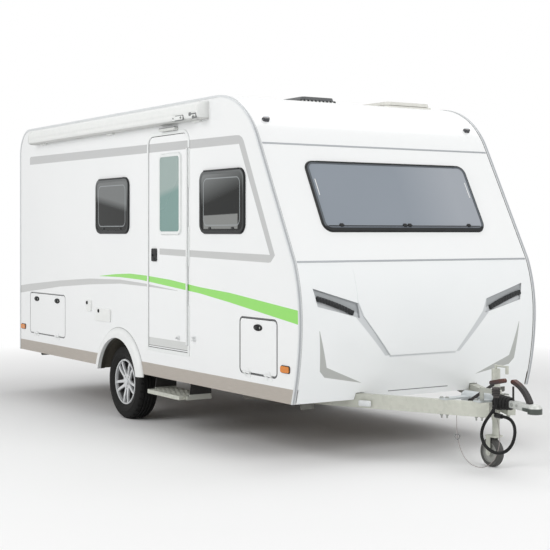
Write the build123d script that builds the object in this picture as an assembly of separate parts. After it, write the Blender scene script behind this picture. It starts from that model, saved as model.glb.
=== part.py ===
from build123d import *
import os
from math import atan2, cos, degrees, radians, sin, sqrt, tan

# Travel caravan on one axle, standing on its jockey wheel.
# Millimetres. +X points to the coupling, +Y to the left side, +Z up, ground at Z = 0.
# The origin is the middle of the overall length on the ground.

# Body shell
OVERALL_LENGTH = 6340.0
BODY_WIDTH = 2200.0
ROOF_TOP = 2655.0
BODY_BOTTOM = 432.0
WALL = 32.0
HITCH_REACH = 1174.0
REAR_PROUD = 27.0
REAR_TOP_RADIUS = 245.0
FRONT_TOP_RADIUS = 650.0
FRONT_LEAN = 28.0
UPPER_SEAM_DROP = 390.0
BULGE_OUT = 79.0
BULGE_RISE = 573.0
TOE_IN = 90.0
NOSE_SWELL = 0.9
SKIRT_HEIGHT = 104.0
SKIRT_THICK = 18.0
FLOOR_RISE = 168.0
FLOOR_THICK = 45.0
TRIM_PROUD = 4.0
TRIM_LIP = 12.0
TRIM_WIDTH = 20.0
SEAM_GAP = 1.0
PANEL_DEEP = 400.0

# Places along the body, from the rear wall to the nose, and the seam's place in its height
AXLE_PLACE = 0.4534
DOOR_PLACE = 0.6271
REAR_WINDOW_PLACE = 0.4252
FRONT_WINDOW_PLACE = 0.7968
MID_SEAM_PLACE = 0.4426

# Wheels and axle
TYRE_RADIUS = 320.0
TYRE_WIDTH = 195.0
TYRE_INSET = 34.0
BEAD_IN = 22.5
BELLY_PLACE = 0.43
SHOULDER_DROP = 22.0
SHOULDER_IN = 9.0
CROWN_DROP = 3.0
TREAD_EDGE = 30.0
RIM_RADIUS = 198.0
RIM_WALL = 14.0
RIM_LIP = 8.0
RIM_STEP = 20.0
HUB_RADIUS = 66.0
HUB_DEPTH = 46.0
HUB_DISH = 11.0
CAP_RADIUS = 31.0
BOLT_CIRCLE = 49.0
BOLT_HOLE = 9.0
BOLT_DEEP = 12.0
SPOKE_PAIRS = 5
SPOKE_INNER = 32.0
SPOKE_OUTER = 31.0
SPOKE_SPLIT = 15.0
SPOKE_SPREAD = 38.0
SPOKE_DEPTH = 34.0
SPOKE_DRAFT = 8.0
DRUM_RADIUS = 118.0
DRUM_WIDTH = 62.0
DRUM_CHAMFER = 8.0
STUB_RADIUS = 20.0
RUNNING_FIT = 0.05
ARCH_GAP = 80.0
ARCH_LIP = 14.0
FLARE_WIDTH = 70.0
FLARE_PROUD = 38.0
FLARE_EDGE = 7.0
FLARE_LOW = 85.0
BOX_SKIN = 6.0
BOX_DEPTH = 270.0
ARM_REACH = 150.0
ARM_THICK = 26.0
ARM_WIDTH = 84.0
AXLE_TUBE = 84.0
AXLE_DROP = 89.0
AXLE_FOOT = 110.0
BACKPLATE = 8.0

# Chassis
RAIL_INSET = 350.0
RAIL_WIDTH = 60.0
RAIL_HEIGHT = 80.0
RAIL_SHEET = 6.0
RAIL_END = 60.0
RAIL_HOLES = 12
RAIL_HOLE = (150.0, 36.0)
CROSS_WIDTH = 50.0
CROSS_RISE = 10.0
CROSS_PLACES = (0.0234, 0.2335, 0.5896, 0.7322, 0.9035)
BAR_HEIGHT = 98.0
BAR_WIDTH = 56.0
BAR_UNDER = 854.0
BAR_REAR_INSET = 140.0
BAR_TIP_BACK = 368.0
BAR_TIP_Y = 95.0
BAR_ROOM = 6.0
STEADY_INSET = 195.0
STEADY_ARM = 400.0
STEADY_FRONT = 596.0
STEADY_REAR = 613.0
STEADY_CHEEK = 40.0
STEADY_SHEET = 6.0
STEADY_BOLT = 9.0
STEADY_SPINDLE = 7.0
STEADY_DROP = 34.0
STEADY_FOOT = (110.0, 84.0)
STEADY_FOOT_DROP = 58.0

# Hitch and jockey wheel
HITCH_DROP = 3.0
HOUSING_RADIUS = 45.0
HOUSING_LENGTH = 325.0
HOUSING_BACK = 730.0
FLANGE_THICK = 12.0
FLANGE_SPREAD = 26.0
BELLOWS_LENGTH = 140.0
BELLOWS_RADIUS = 55.0
BELLOWS_FOLDS = 5
BELLOWS_TAPER = 3.0
BELLOWS_DEEP = 11.0
SHAFT_RADIUS = 23.0
SHAFT_PLAY = 1.0
NECK_SIZE = (58.0, 48.0)
NECK_END = (82.0, 52.0)
NECK_CORNER = 12.0
CUP_RADIUS = 48.0
CUP_WALL = 36.0
CUP_HEIGHT = 66.0
BALL_RADIUS = 25.2
BALL_DROP = 14.0
BALL_DEEP = 28.0
GRIP_WIDTH = 30.0
GRIP_THICK = 36.0
LEVER_WIDTH = 18.0
LEVER_THICK = 12.0
LEVER_AWAY = 10.0
LEVER_START = 115.0
LEVER_DROP = 11.0
LEVER_RUN = (232.0, 131.0)
JOCKEY_BACK = 520.0
JOCKEY_ROOM = 17.0
JOCKEY_RADIUS = 100.0
JOCKEY_WIDTH = 58.0
JOCKEY_TRAIL = 38.0
JOCKEY_TUBE = 30.0
JOCKEY_LEG = 25.0
JOCKEY_RISE = 205.0
JOCKEY_DROP = 145.0
JOCKEY_GRIP = 78.0
JOCKEY_PIN = 8.0
JOCKEY_CHEEK = 5.0
CLAMP_WALL = 9.0
CLAMP_HEIGHT = 90.0
CRANK_REACH = 110.0
CRANK_RADIUS = 7.0

# Doors and lids
DOOR_WIDTH = 668.0
DOOR_RISE = 75.0
DOOR_DROP = 250.0
DOOR_GAP = 5.0
DOOR_CORNER = 70.0
DOOR_FRAME = 24.0
DOOR_FRAME_PROUD = 5.0
DOOR_WINDOW = (387.0, 664.0)
DOOR_WINDOW_CORNER = 55.0
DOOR_WINDOW_DROP = 475.0
DOOR_WINDOW_AHEAD = 45.0
HINGE_RADIUS = 9.0
HINGE_PIN = 4.0
HINGE_OUT = 11.0
HINGE_LOW = 60.0
HINGE_HIGH = 120.0
KNUCKLES = 5
KNUCKLE_GAP = 1.0
LEAF = 3.0
LEAF_WIDTH = 30.0
LEAF_WEB = 5.0
HANDLE_RISE = 760.0
HANDLE_SIZE = (86.0, 106.0)
HANDLE_BACK = 100.0
HANDLE_PROUD = 10.0
HANDLE_CORNER = 14.0
HANDLE_RIM = 9.0
POCKET_SIZE = (68.0, 56.0)
POCKET_DEEP = 7.0
PADDLE_SIZE = (60.0, 38.0)
PADDLE_IN = 1.5
LOCK_RADIUS = 11.0
LOCK_PROUD = 3.0
LOCKER_HINGE_RADIUS = 7.0
LOCKER_KNUCKLE = 30.0
LOCKER_THICK = 26.0
LOCKER_GAP = 5.0
LOCKER_CORNER = 30.0

# Windows
WINDOW_SIZE = (676.0, 490.0)
WINDOW_CORNER = 80.0
WINDOW_DROP = 803.0
FRAME_BORDER = 30.0
FRAME_PROUD = 14.0
HOLE_INSET = 18.0
PANE_THICK = 6.0
PANE_DEEP = 3.0
PANE_PLAY = 0.2
BLIND_THICK = 4.0
FRONT_WINDOW_SIDE = 335.0
FRONT_WINDOW_TOP = 137.0
FRONT_WINDOW_LOW = 232.0

# Roof and awning
AWNING_REAR = 457.0
AWNING_BACK = 120.0
AWNING_DROP = 33.0
AWNING_HEIGHT = 132.0
AWNING_OUT = 100.0
AWNING_CAP = 14.0
AWNING_CAP_PROUD = 3.0
LEAD_RAIL = 52.0
LEAD_GROOVE = 3.0
HATCH_SIZE = 500.0
HATCH_INSET = 330.0
HATCH_BACK = 5.0
HATCH_HEIGHT = 52.0
HATCH_RIM = 45.0
HATCH_FRAME = 18.0
HATCH_CORNER = 40.0
HATCH_LUG = 40.0
HATCH_LUG_SIDE = 140.0
VENT_BACK = 466.0
VENT_Y = 50.0
VENT_SIZE = 400.0
VENT_HEIGHT = 82.0
VENT_BASE = 16.0

# Step
STEP_WIDTH = 550.0
STEP_BEHIND = 9.0
STEP_DROP = 107.0
STEP_DEPTH = 260.0
STEP_OUT = 40.0
STEP_EDGE = 32.0
STEP_SHEET = 4.0
STEP_SLOT = (64.0, 13.0)
STEP_SLOT_COLUMNS = 6
STEP_SLOT_ROWS = 6
RUNNER_WIDTH = 14.0
RUNNER_HEIGHT = 14.0
GUIDE_WIDTH = 24.0
GUIDE_PLAY = 0.3

# Lamps and covers
RECESS_DEEP = 16.0
LAMP_BAR = (330.0, 26.0)
LAMP_BAR_INSET = 305.0
LAMP_BAR_DROP = 308.0
LAMP_BAR_TURN = 19.6
MARKER_SIZE = (106.0, 44.0)
MARKER_PROUD = 12.0
MARKER_RISE = 236.0
MARKER_REAR = 93.0
MARKER_FRONT = 174.0
ROOF_LAMP_SIZE = (62.0, 46.0)
ROOF_LAMP_CORNER = 18.0
ROOF_LAMP_SUNK = 6.0
ROOF_LAMP_HEIGHT = 30.0
ROOF_LAMP_INSET = 135.0
ROOF_LAMP_TURN = 42.5
TAIL_INSET = 200.0
TAIL_LAMP = (190.0, 340.0)
TAIL_LAMP_RISE = 378.0
TAIL_LAMP_CORNER = 46.0
TAIL_PROUD = 20.0
TAIL_SIDE = 72.0
TAIL_LOW = 8.0
TAIL_HEIGHT = 570.0
TAIL_CORNER = 60.0
PLATE_RECESS = (530.0, 120.0)
PLATE_RISE = 318.0
PLATE_DEEP = 12.0
BRAKE_LAMP = (320.0, 26.0)
BRAKE_LAMP_DROP = 107.0
PORCH_LAMP = (270.0, 28.0)
PORCH_LAMP_DROP = 203.0
PORCH_LAMP_OUT = 36.0
PORCH_LAMP_AHEAD = 41.0
GRILLE_SIZE = (460.0, 210.0)
GRILLE_BORDER = 30.0
GRILLE_PROUD = 10.0
GRILLE_SLATS = 7
GRILLE_RISES = (348.0, 818.0)
GRILLE_AHEAD = 1163.0
FLAP_GAP = 12.0
FLAP_PROUD = 10.0

# Furniture
KITCHEN_AHEAD = 563.0
KITCHEN_LENGTH = 1070.0
KITCHEN_DEPTH = 540.0
KITCHEN_HEIGHT = 860.0
WORKTOP = 30.0
WORKTOP_OVER = 20.0
PLINTH = 80.0
PLINTH_BACK = 50.0
WARDROBE_BEHIND = 517.0
WARDROBE_LENGTH = 570.0
WARDROBE_DEPTH = 620.0
WARDROBE_HEIGHT = 960.0
FRONT_GROOVE = 4.0

os.makedirs("parts", exist_ok=True)

HALF = BODY_WIDTH / 2
INNER = HALF - WALL
X_REAR = -OVERALL_LENGTH / 2 + REAR_PROUD
X_TIP = OVERALL_LENGTH / 2
X_BULGE = X_TIP - HITCH_REACH
BODY_RUN = X_BULGE - X_REAR
X_AXLE = X_REAR + AXLE_PLACE * BODY_RUN
X_DOOR = X_REAR + DOOR_PLACE * BODY_RUN
LEAN = radians(FRONT_LEAN)
UPPER_SEAM_Z = ROOF_TOP - UPPER_SEAM_DROP
MID_SEAM_Z = BODY_BOTTOM + MID_SEAM_PLACE * (ROOF_TOP - BODY_BOTTOM)
BULGE_Z = BODY_BOTTOM + BULGE_RISE
X_MID_SEAM = X_BULGE - BULGE_OUT
SLOPE_Z = ROOF_TOP - FRONT_TOP_RADIUS * (1 - sin(LEAN))
SLOPE_X = X_MID_SEAM - (SLOPE_Z - MID_SEAM_Z) * tan(LEAN)
X_ROOF_FRONT = SLOPE_X - FRONT_TOP_RADIUS * cos(LEAN)
FRONT_LOW_X = X_BULGE - TOE_IN
Z_LOW = BODY_BOTTOM - 3 * WALL
SKIRT_TOP = BODY_BOTTOM + SKIRT_HEIGHT
FLOOR_TOP = BODY_BOTTOM + FLOOR_RISE
FLOOR_BOTTOM = FLOOR_TOP - FLOOR_THICK
RAIL_BOTTOM = FLOOR_BOTTOM - RAIL_HEIGHT
RAIL_Y = HALF - RAIL_INSET
ARCH_RADIUS = TYRE_RADIUS + ARCH_GAP
FLARE_RADIUS = ARCH_RADIUS + FLARE_WIDTH
HITCH_Z = RAIL_BOTTOM - HITCH_DROP
LONG = OVERALL_LENGTH
SIDES = (("right", -1), ("left", 1))


def block(x, y, z):
    """Box between two limits on each axis."""
    size = Box(abs(x[1] - x[0]), abs(y[1] - y[0]), abs(z[1] - z[0]))
    return Pos((x[0] + x[1]) / 2, (y[0] + y[1]) / 2, (z[0] + z[1]) / 2) * size


def slab(face, y0, y1):
    """A face drawn in X and Z, made solid between y0 and y1."""
    return extrude(Plane.XZ.offset(-max(y0, y1)) * face, amount=abs(y1 - y0))


def across(face, x0, x1):
    """A face drawn in Y and Z, made solid between x0 and x1."""
    return extrude(Plane.YZ.offset(min(x0, x1)) * face, amount=abs(x1 - x0))


def rod(axis, start, radius, length):
    """Round bar from a start point along +X, +Y or +Z."""
    turn = {"x": (0, 90, 0), "y": (-90, 0, 0), "z": (0, 0, 0)}[axis]
    bar = Cylinder(radius, length, align=(Align.CENTER, Align.CENTER, Align.MIN))
    return Pos(*start) * Rot(*turn) * bar


def turned_y(points):
    """Ring turned about the Y axis from (radius, y) points."""
    return revolve(make_face(Polyline(*points, close=True)), axis=Axis.Y)


def panel(center, size, corner):
    """Rounded rectangle at a place in its plane."""
    return Pos(*center) * RectangleRounded(size[0], size[1], corner)


def both_sides(shape):
    """A solid with its mirror twin on the other side."""
    return Compound(shape.solids() + mirror(shape, about=Plane.XZ).solids())


def group(shapes):
    """Solids that belong to one piece."""
    return Compound([s for shape in shapes for s in shape.solids()])


def save(name, shape):
    """Write one piece."""
    export_step(shape, "parts/" + name + ".step")


def tangent_arc(apex, end, stop_z=None):
    """Arc that stands upright at its apex and passes through end, carried on to stop_z."""
    dx = apex[0] - end[0]
    dz = end[1] - apex[1]
    radius = (dx * dx + dz * dz) / (2 * dx)
    center = (apex[0] - radius, apex[1])
    last = dz if stop_z is None else stop_z - apex[1]
    points = []
    for part in (0.5, 1.0):
        z = last * part
        points.append((center[0] + sqrt(radius * radius - z * z), center[1] + z))
    return points


def body_outline():
    """Side outline of the body, carried a little below its lower edge."""
    half_turn = (radians(90) - LEAN) / 2
    center = (X_ROOF_FRONT, ROOF_TOP - FRONT_TOP_RADIUS)
    arc_mid = (
        center[0] + FRONT_TOP_RADIUS * sin(half_turn),
        center[1] + FRONT_TOP_RADIUS * cos(half_turn),
    )
    rear_mid = REAR_TOP_RADIUS * (1 - sin(radians(45)))
    apex = (X_BULGE, BULGE_Z)
    up_mid, up_end = tangent_arc(apex, (X_MID_SEAM, MID_SEAM_Z))
    low_mid, low_end = tangent_arc(apex, (FRONT_LOW_X, BODY_BOTTOM), Z_LOW)
    edges = [
        Line((X_REAR, Z_LOW), (X_REAR, ROOF_TOP - REAR_TOP_RADIUS)),
        ThreePointArc(
            (X_REAR, ROOF_TOP - REAR_TOP_RADIUS),
            (X_REAR + rear_mid, ROOF_TOP - rear_mid),
            (X_REAR + REAR_TOP_RADIUS, ROOF_TOP),
        ),
        Line((X_REAR + REAR_TOP_RADIUS, ROOF_TOP), (X_ROOF_FRONT, ROOF_TOP)),
        ThreePointArc((X_ROOF_FRONT, ROOF_TOP), arc_mid, (SLOPE_X, SLOPE_Z)),
        Line((SLOPE_X, SLOPE_Z), (X_MID_SEAM, MID_SEAM_Z)),
        ThreePointArc(up_end, up_mid, apex),
        ThreePointArc(apex, low_mid, low_end),
        Line(low_end, (X_REAR, Z_LOW)),
    ]
    return make_face(edges)


outline = body_outline()
inner_outline = offset(outline, amount=-WALL, kind=Kind.INTERSECTION)
trim_outline = offset(outline, amount=TRIM_PROUD, kind=Kind.INTERSECTION)
lip_outline = offset(outline, amount=-TRIM_LIP, kind=Kind.INTERSECTION)
above_bottom = Pos(0, BODY_BOTTOM + LONG / 2) * Rectangle(2 * LONG, LONG)
above_skirt = Pos(0, SKIRT_TOP + LONG / 2) * Rectangle(2 * LONG, LONG)
ring = (outline - inner_outline) & above_bottom

# Seam lines: the panels of the shell part here
seam_out = Vector(cos(LEAN), sin(LEAN))
seam_down = Vector(sin(LEAN), -cos(LEAN))
x_upper_seam = SLOPE_X + (SLOPE_Z - UPPER_SEAM_Z) * tan(LEAN)
upper_seam = Vector(x_upper_seam, UPPER_SEAM_Z)
mid_seam = Vector(X_MID_SEAM, MID_SEAM_Z)
slope_length = (mid_seam - upper_seam).length
rear_seam_z = ROOF_TOP - REAR_TOP_RADIUS


def zone(corners):
    """Part of the side view inside a row of corners."""
    return make_face(Polyline(*[(c.X, c.Y) for c in corners], close=True))


seam_top = upper_seam + seam_down * (SEAM_GAP / 2)
seam_end = mid_seam - seam_down * (SEAM_GAP / 2)
seam_low = mid_seam + seam_down * (SEAM_GAP / 2)
roof_end = upper_seam - seam_down * (SEAM_GAP / 2)
zone_upper = zone(
    [
        seam_top + seam_out * 2 * WALL,
        seam_end + seam_out * 2 * WALL,
        seam_end - seam_out * PANEL_DEEP,
        seam_top - seam_out * PANEL_DEEP,
    ]
)
zone_lower = zone(
    [
        seam_low + seam_out * 2 * WALL,
        Vector(X_BULGE + 2 * WALL, BULGE_Z),
        Vector(X_BULGE + 2 * WALL, Z_LOW - WALL),
        Vector(FRONT_LOW_X - PANEL_DEEP / 2, Z_LOW - WALL),
        seam_low - seam_out * PANEL_DEEP / 2,
    ]
)
zone_roof = zone(
    [
        Vector(X_REAR - WALL, rear_seam_z + SEAM_GAP),
        Vector(X_REAR - WALL, ROOF_TOP + WALL),
        Vector(roof_end.X + PANEL_DEEP * seam_out.X, ROOF_TOP + WALL),
        roof_end + seam_out * PANEL_DEEP,
        roof_end - seam_out * PANEL_DEEP / 2,
        Vector(X_REAR + PANEL_DEEP, rear_seam_z + SEAM_GAP),
    ]
)
zone_rear = Pos(X_REAR, rear_seam_z - LONG / 2) * Rectangle(PANEL_DEEP, LONG)

# Drawbar: two bars that meet at the hitch
bar_rear = Vector(FRONT_LOW_X - BAR_UNDER, HALF - BAR_REAR_INSET)
bar_tip = Vector(X_TIP - BAR_TIP_BACK, BAR_TIP_Y)
bar_run = bar_tip - bar_rear
bar_turn = degrees(atan2(bar_run.Y, bar_run.X))
bar_middle = (bar_rear + bar_tip) * 0.5
bar_place = Pos(bar_middle.X, bar_middle.Y, RAIL_BOTTOM - BAR_HEIGHT / 2) * Rot(0, 0, bar_turn)
bar = bar_place * Box(bar_run.length, BAR_WIDTH, BAR_HEIGHT)
bar_room = bar_place * Box(bar_run.length, BAR_WIDTH + 2 * BAR_ROOM, BAR_HEIGHT + 2 * BAR_ROOM)
save("drawbar", both_sides(bar))


def bar_y(x):
    """Middle of the left bar at a place along the caravan."""
    return bar_tip.Y + (bar_tip.X - x) * (bar_rear.Y - bar_tip.Y) / bar_run.X


# Side walls with their door, window and locker openings
arch = Pos(X_AXLE, TYRE_RADIUS) * Circle(ARCH_RADIUS)
wall_face = (outline & above_skirt) - arch
door_x = (X_DOOR - DOOR_WIDTH / 2, X_DOOR + DOOR_WIDTH / 2)
door_z = (FLOOR_TOP + DOOR_RISE, ROOF_TOP - DOOR_DROP)
door_height = door_z[1] - door_z[0]
door_middle = (X_DOOR, (door_z[0] + door_z[1]) / 2)


def door_shape(grow):
    """Door outline with rounded top corners."""
    body = panel(door_middle, (DOOR_WIDTH + 2 * grow, door_height + 2 * grow), DOOR_CORNER + grow)
    foot = Rectangle(DOOR_WIDTH + 2 * grow, 2 * DOOR_CORNER)
    return body + Pos(X_DOOR, door_z[0] - grow + DOOR_CORNER) * foot


window_z = ROOF_TOP - WINDOW_DROP
window_table = [
    {"side": -1, "x": X_REAR + REAR_WINDOW_PLACE * BODY_RUN},
    {"side": -1, "x": X_REAR + FRONT_WINDOW_PLACE * BODY_RUN},
    {"side": 1, "x": X_REAR + REAR_WINDOW_PLACE * BODY_RUN},
    {"side": 1, "x": X_REAR + FRONT_WINDOW_PLACE * BODY_RUN},
]
locker_table = [
    {"name": "locker_door_front", "x0": X_BULGE - 779.0, "length": 488.0, "rise": 173.0, "height": 388.0},
    {"name": "locker_door_rear", "x0": X_REAR + 275.0, "length": 862.0, "rise": 193.0, "height": 390.0},
]
hole_size = (WINDOW_SIZE[0] - 2 * HOLE_INSET, WINDOW_SIZE[1] - 2 * HOLE_INSET)
hole_corner = WINDOW_CORNER - HOLE_INSET
wall_faces = {-1: wall_face - door_shape(DOOR_GAP), 1: wall_face}
for row in window_table:
    wall_faces[row["side"]] -= panel((row["x"], window_z), hole_size, hole_corner)
for row in locker_table:
    middle = (row["x0"] + row["length"] / 2, BODY_BOTTOM + row["rise"] + row["height"] / 2)
    size = (row["length"] + 2 * LOCKER_GAP, row["height"] + 2 * LOCKER_GAP)
    wall_faces[-1] -= panel(middle, size, LOCKER_CORNER + LOCKER_GAP)
save("wall_right", slab(wall_faces[-1], -HALF, -INNER))
save("wall_left", slab(wall_faces[1], INNER, HALF))

# Roof, front and rear panels
hatch_x = X_ROOF_FRONT - HATCH_BACK - HATCH_SIZE / 2
hatch_y = HALF - HATCH_INSET
hatch_hole = HATCH_SIZE - 2 * HATCH_RIM
roof = slab(ring & zone_roof, -INNER, INNER)
roof -= Pos(hatch_x, hatch_y, ROOF_TOP) * Box(hatch_hole, hatch_hole, 3 * WALL)
save("roof_panel", roof)
save("rear_wall", slab(ring & zone_rear, -INNER, INNER))

front_window = (
    BODY_WIDTH - 2 * FRONT_WINDOW_SIDE,
    slope_length - FRONT_WINDOW_TOP - FRONT_WINDOW_LOW,
)
slope_mid = upper_seam + seam_down * (FRONT_WINDOW_TOP + front_window[1] / 2)
front_plane = Plane(
    origin=(slope_mid.X, 0, slope_mid.Y),
    x_dir=(0, 1, 0),
    z_dir=(seam_out.X, 0, seam_out.Y),
)
front_hole = RectangleRounded(front_window[0] - 2 * HOLE_INSET, front_window[1] - 2 * HOLE_INSET, hole_corner)
front_upper = slab(ring & zone_upper, -INNER, INNER)
front_upper -= extrude(front_plane.offset(-2 * WALL) * front_hole, amount=3 * WALL)
save("front_wall", front_upper)

# Lower front moulding with lamp recesses and a swelling nose.
# Corners of the recess and of the nose, in from the side and down from the seam
recess_table = [
    {"inset": 124.0, "drop": 184.0},
    {"inset": 497.0, "drop": 294.0},
    {"inset": 513.0, "drop": 399.0},
    {"inset": 154.0, "drop": 310.0},
]
nose_table = [
    {"inset": 492.0, "drop": -4.0},
    {"inset": 500.0, "drop": 294.0},
    {"inset": 540.0, "drop": 386.0},
    {"inset": 792.0, "drop": 678.0},
]
front_lower = slab(ring & zone_lower, -INNER, INNER)
seam_turn = Pos(X_MID_SEAM, MID_SEAM_Z) * Rot(0, 0, NOSE_SWELL) * Pos(-X_MID_SEAM, -MID_SEAM_Z)
nose_outline = seam_turn * outline
nose_side = [(HALF - row["inset"], MID_SEAM_Z - row["drop"]) for row in nose_table]
nose_points = [(-y, z) for y, z in nose_side] + nose_side[::-1]
nose_prism = across(make_face(Polyline(*nose_points, close=True)), 0, LONG)
nose_ring = (nose_outline - inner_outline) & zone_lower & above_bottom
front_lower += slab(nose_ring, -INNER, INNER) & nose_prism
recess_floor = offset(outline, amount=-RECESS_DEEP, kind=Kind.INTERSECTION)
recess_ring = (trim_outline - recess_floor) & zone_lower
for _, sign in SIDES:
    corners = [(sign * (HALF - row["inset"]), MID_SEAM_Z - row["drop"]) for row in recess_table]
    shape = make_face(Polyline(*corners, close=True))
    front_lower -= slab(recess_ring, -INNER, INNER) & across(shape, 0, LONG)
front_lower -= bar_room
front_lower -= mirror(bar_room, about=Plane.XZ)
save("front_moulding", front_lower)

# Front lamp bars lie in the recesses
lamp_ring = (outline - recess_floor) & zone_lower
lamps = []
for _, sign in SIDES:
    spot = Pos(sign * (HALF - LAMP_BAR_INSET), MID_SEAM_Z - LAMP_BAR_DROP)
    strip = spot * Rot(0, 0, sign * LAMP_BAR_TURN) * SlotOverall(*LAMP_BAR)
    lamps.append(slab(lamp_ring, -INNER, INNER) & across(strip, 0, LONG))
save("front_lamps", group(lamps))

# Corner trims along the side outline
trim_band = (trim_outline - outline) & above_bottom
trim_face = (trim_outline - lip_outline) & above_bottom
trim = slab(trim_band, HALF - TRIM_WIDTH, HALF) + slab(trim_face, HALF, HALF + TRIM_PROUD)
save("corner_trims", both_sides(trim))

# Skirts below the walls
skirt_face = (lip_outline & above_bottom) - above_skirt - arch
skirt_face -= Pos(X_AXLE, BODY_BOTTOM) * Rectangle(2 * ARCH_RADIUS, SKIRT_HEIGHT)
save("side_skirts", both_sides(slab(skirt_face, HALF - SKIRT_THICK, HALF)))

# Wheel arches: a turned lip whose outer face swells
arch_in = ARCH_RADIUS - ARCH_LIP
flare_edge = (FLARE_RADIUS, HALF + FLARE_EDGE)
flare_top = (ARCH_RADIUS + FLARE_EDGE, HALF + FLARE_PROUD)
flare_mid = (ARCH_RADIUS + 0.68 * FLARE_WIDTH, HALF + 0.78 * FLARE_PROUD)
flare_section = make_face(
    [
        Polyline(flare_top, (arch_in, HALF + FLARE_PROUD), (arch_in, INNER), (ARCH_RADIUS - SEAM_GAP, INNER)),
        Polyline(
            (ARCH_RADIUS - SEAM_GAP, INNER),
            (ARCH_RADIUS - SEAM_GAP, HALF),
            (FLARE_RADIUS, HALF),
            flare_edge,
        ),
        ThreePointArc(flare_edge, flare_mid, flare_top),
    ]
)
flare = Pos(X_AXLE, 0, TYRE_RADIUS) * revolve(flare_section, axis=Axis.Y)
flare_low = TYRE_RADIUS + FLARE_LOW
flare &= block((X_AXLE - LONG, X_AXLE + LONG), (0, 2 * HALF), (flare_low, LONG))
save("wheel_arches", both_sides(flare))
above_floor = Pos(X_AXLE, FLOOR_BOTTOM + LONG / 2) * Rectangle(LONG, LONG)
box_outer = arch & above_floor
box_inner = (Pos(X_AXLE, TYRE_RADIUS) * Circle(ARCH_RADIUS - BOX_SKIN)) & above_floor
wheel_box = slab(box_outer, INNER - BOX_DEPTH, INNER) - slab(box_inner, INNER - BOX_DEPTH + BOX_SKIN, INNER)
save("wheel_boxes", both_sides(wheel_box))

# Floor
floor = block((X_REAR + WALL, FRONT_LOW_X - WALL), (-INNER, INNER), (FLOOR_BOTTOM, FLOOR_TOP))
floor_notch = Pos(X_AXLE, TYRE_RADIUS) * Circle(ARCH_RADIUS + SEAM_GAP)
for _, sign in SIDES:
    floor -= slab(floor_notch, sign * (INNER - BOX_DEPTH - SEAM_GAP), sign * (INNER + SEAM_GAP))
save("floor_panel", floor)


# Windows
def window_parts(size, corner):
    """Frame, pane and blind drawn flat: the wall face is at height 0."""
    outer = RectangleRounded(size[0], size[1], corner)
    hole = RectangleRounded(size[0] - 2 * HOLE_INSET, size[1] - 2 * HOLE_INSET, corner - HOLE_INSET)
    open_size = (size[0] - 2 * FRAME_BORDER, size[1] - 2 * FRAME_BORDER)
    clear = RectangleRounded(*open_size, corner - FRAME_BORDER)
    flange = extrude(outer, amount=FRAME_PROUD, taper=30) - extrude(clear, amount=FRAME_PROUD)
    sleeve = extrude(Plane.XY.offset(-WALL) * (hole - clear), amount=WALL)
    pane_size = (open_size[0] - 2 * PANE_PLAY, open_size[1] - 2 * PANE_PLAY)
    pane_face = RectangleRounded(*pane_size, corner - FRAME_BORDER - PANE_PLAY)
    pane = extrude(Plane.XY.offset(FRAME_PROUD - PANE_THICK - PANE_DEEP) * pane_face, amount=PANE_THICK)
    blind = extrude(Plane.XY.offset(BLIND_THICK / 2 - WALL) * pane_face, amount=BLIND_THICK)
    return flange + sleeve, pane, blind


frames = []
panes = []
blinds = []
upper_half = Pos(0, WINDOW_SIZE[1] / 2, 0) * Box(2 * WINDOW_SIZE[0], WINDOW_SIZE[1], 3 * WALL)
for row in window_table:
    frame, pane, blind = window_parts(WINDOW_SIZE, WINDOW_CORNER)
    place = Plane(
        origin=(row["x"], row["side"] * HALF, window_z),
        x_dir=(-row["side"], 0, 0),
        z_dir=(0, row["side"], 0),
    )
    frames.append(place * frame)
    panes.append(place * pane)
    blinds.append(place * (blind & upper_half))
frame, pane, blind = window_parts(front_window, WINDOW_CORNER)
frames.append(front_plane * frame)
panes.append(front_plane * pane)
blinds.append(front_plane * blind)
save("window_frames", group(frames))
save("window_panes", group(panes))
save("window_blinds", group(blinds))

# Entry door, hinged at its front edge
hinge_x = door_x[1] + DOOR_GAP / 2
hinge_y = -HALF - HINGE_OUT
hinge_z = (door_z[0] + HINGE_LOW, door_z[1] - HINGE_HIGH)
window_spot = (X_DOOR + DOOR_WINDOW_AHEAD, door_z[1] - DOOR_WINDOW_DROP)
door_hole_size = (DOOR_WINDOW[0] - 2 * HOLE_INSET, DOOR_WINDOW[1] - 2 * HOLE_INSET)
door_hole = panel(window_spot, door_hole_size, DOOR_WINDOW_CORNER - HOLE_INSET)
save("entry_door", slab(door_shape(0) - door_hole, -HALF, -INNER))
frame, pane, blind = window_parts(DOOR_WINDOW, DOOR_WINDOW_CORNER)
door_place = Plane(origin=(window_spot[0], -HALF, window_spot[1]), x_dir=(1, 0, 0), z_dir=(0, -1, 0))
save("door_window_frame", door_place * frame)
save("door_window_pane", door_place * pane)
surround = slab(door_shape(DOOR_GAP + DOOR_FRAME) - door_shape(DOOR_GAP), -HALF - DOOR_FRAME_PROUD, -HALF)
surround -= block(
    (hinge_x - HINGE_RADIUS - DOOR_GAP, hinge_x + 2 * LEAF_WIDTH),
    (-HALF - HINGE_OUT, -HALF),
    (hinge_z[0] - DOOR_GAP, hinge_z[1] + DOOR_GAP),
)
save("door_frame", surround)

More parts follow.
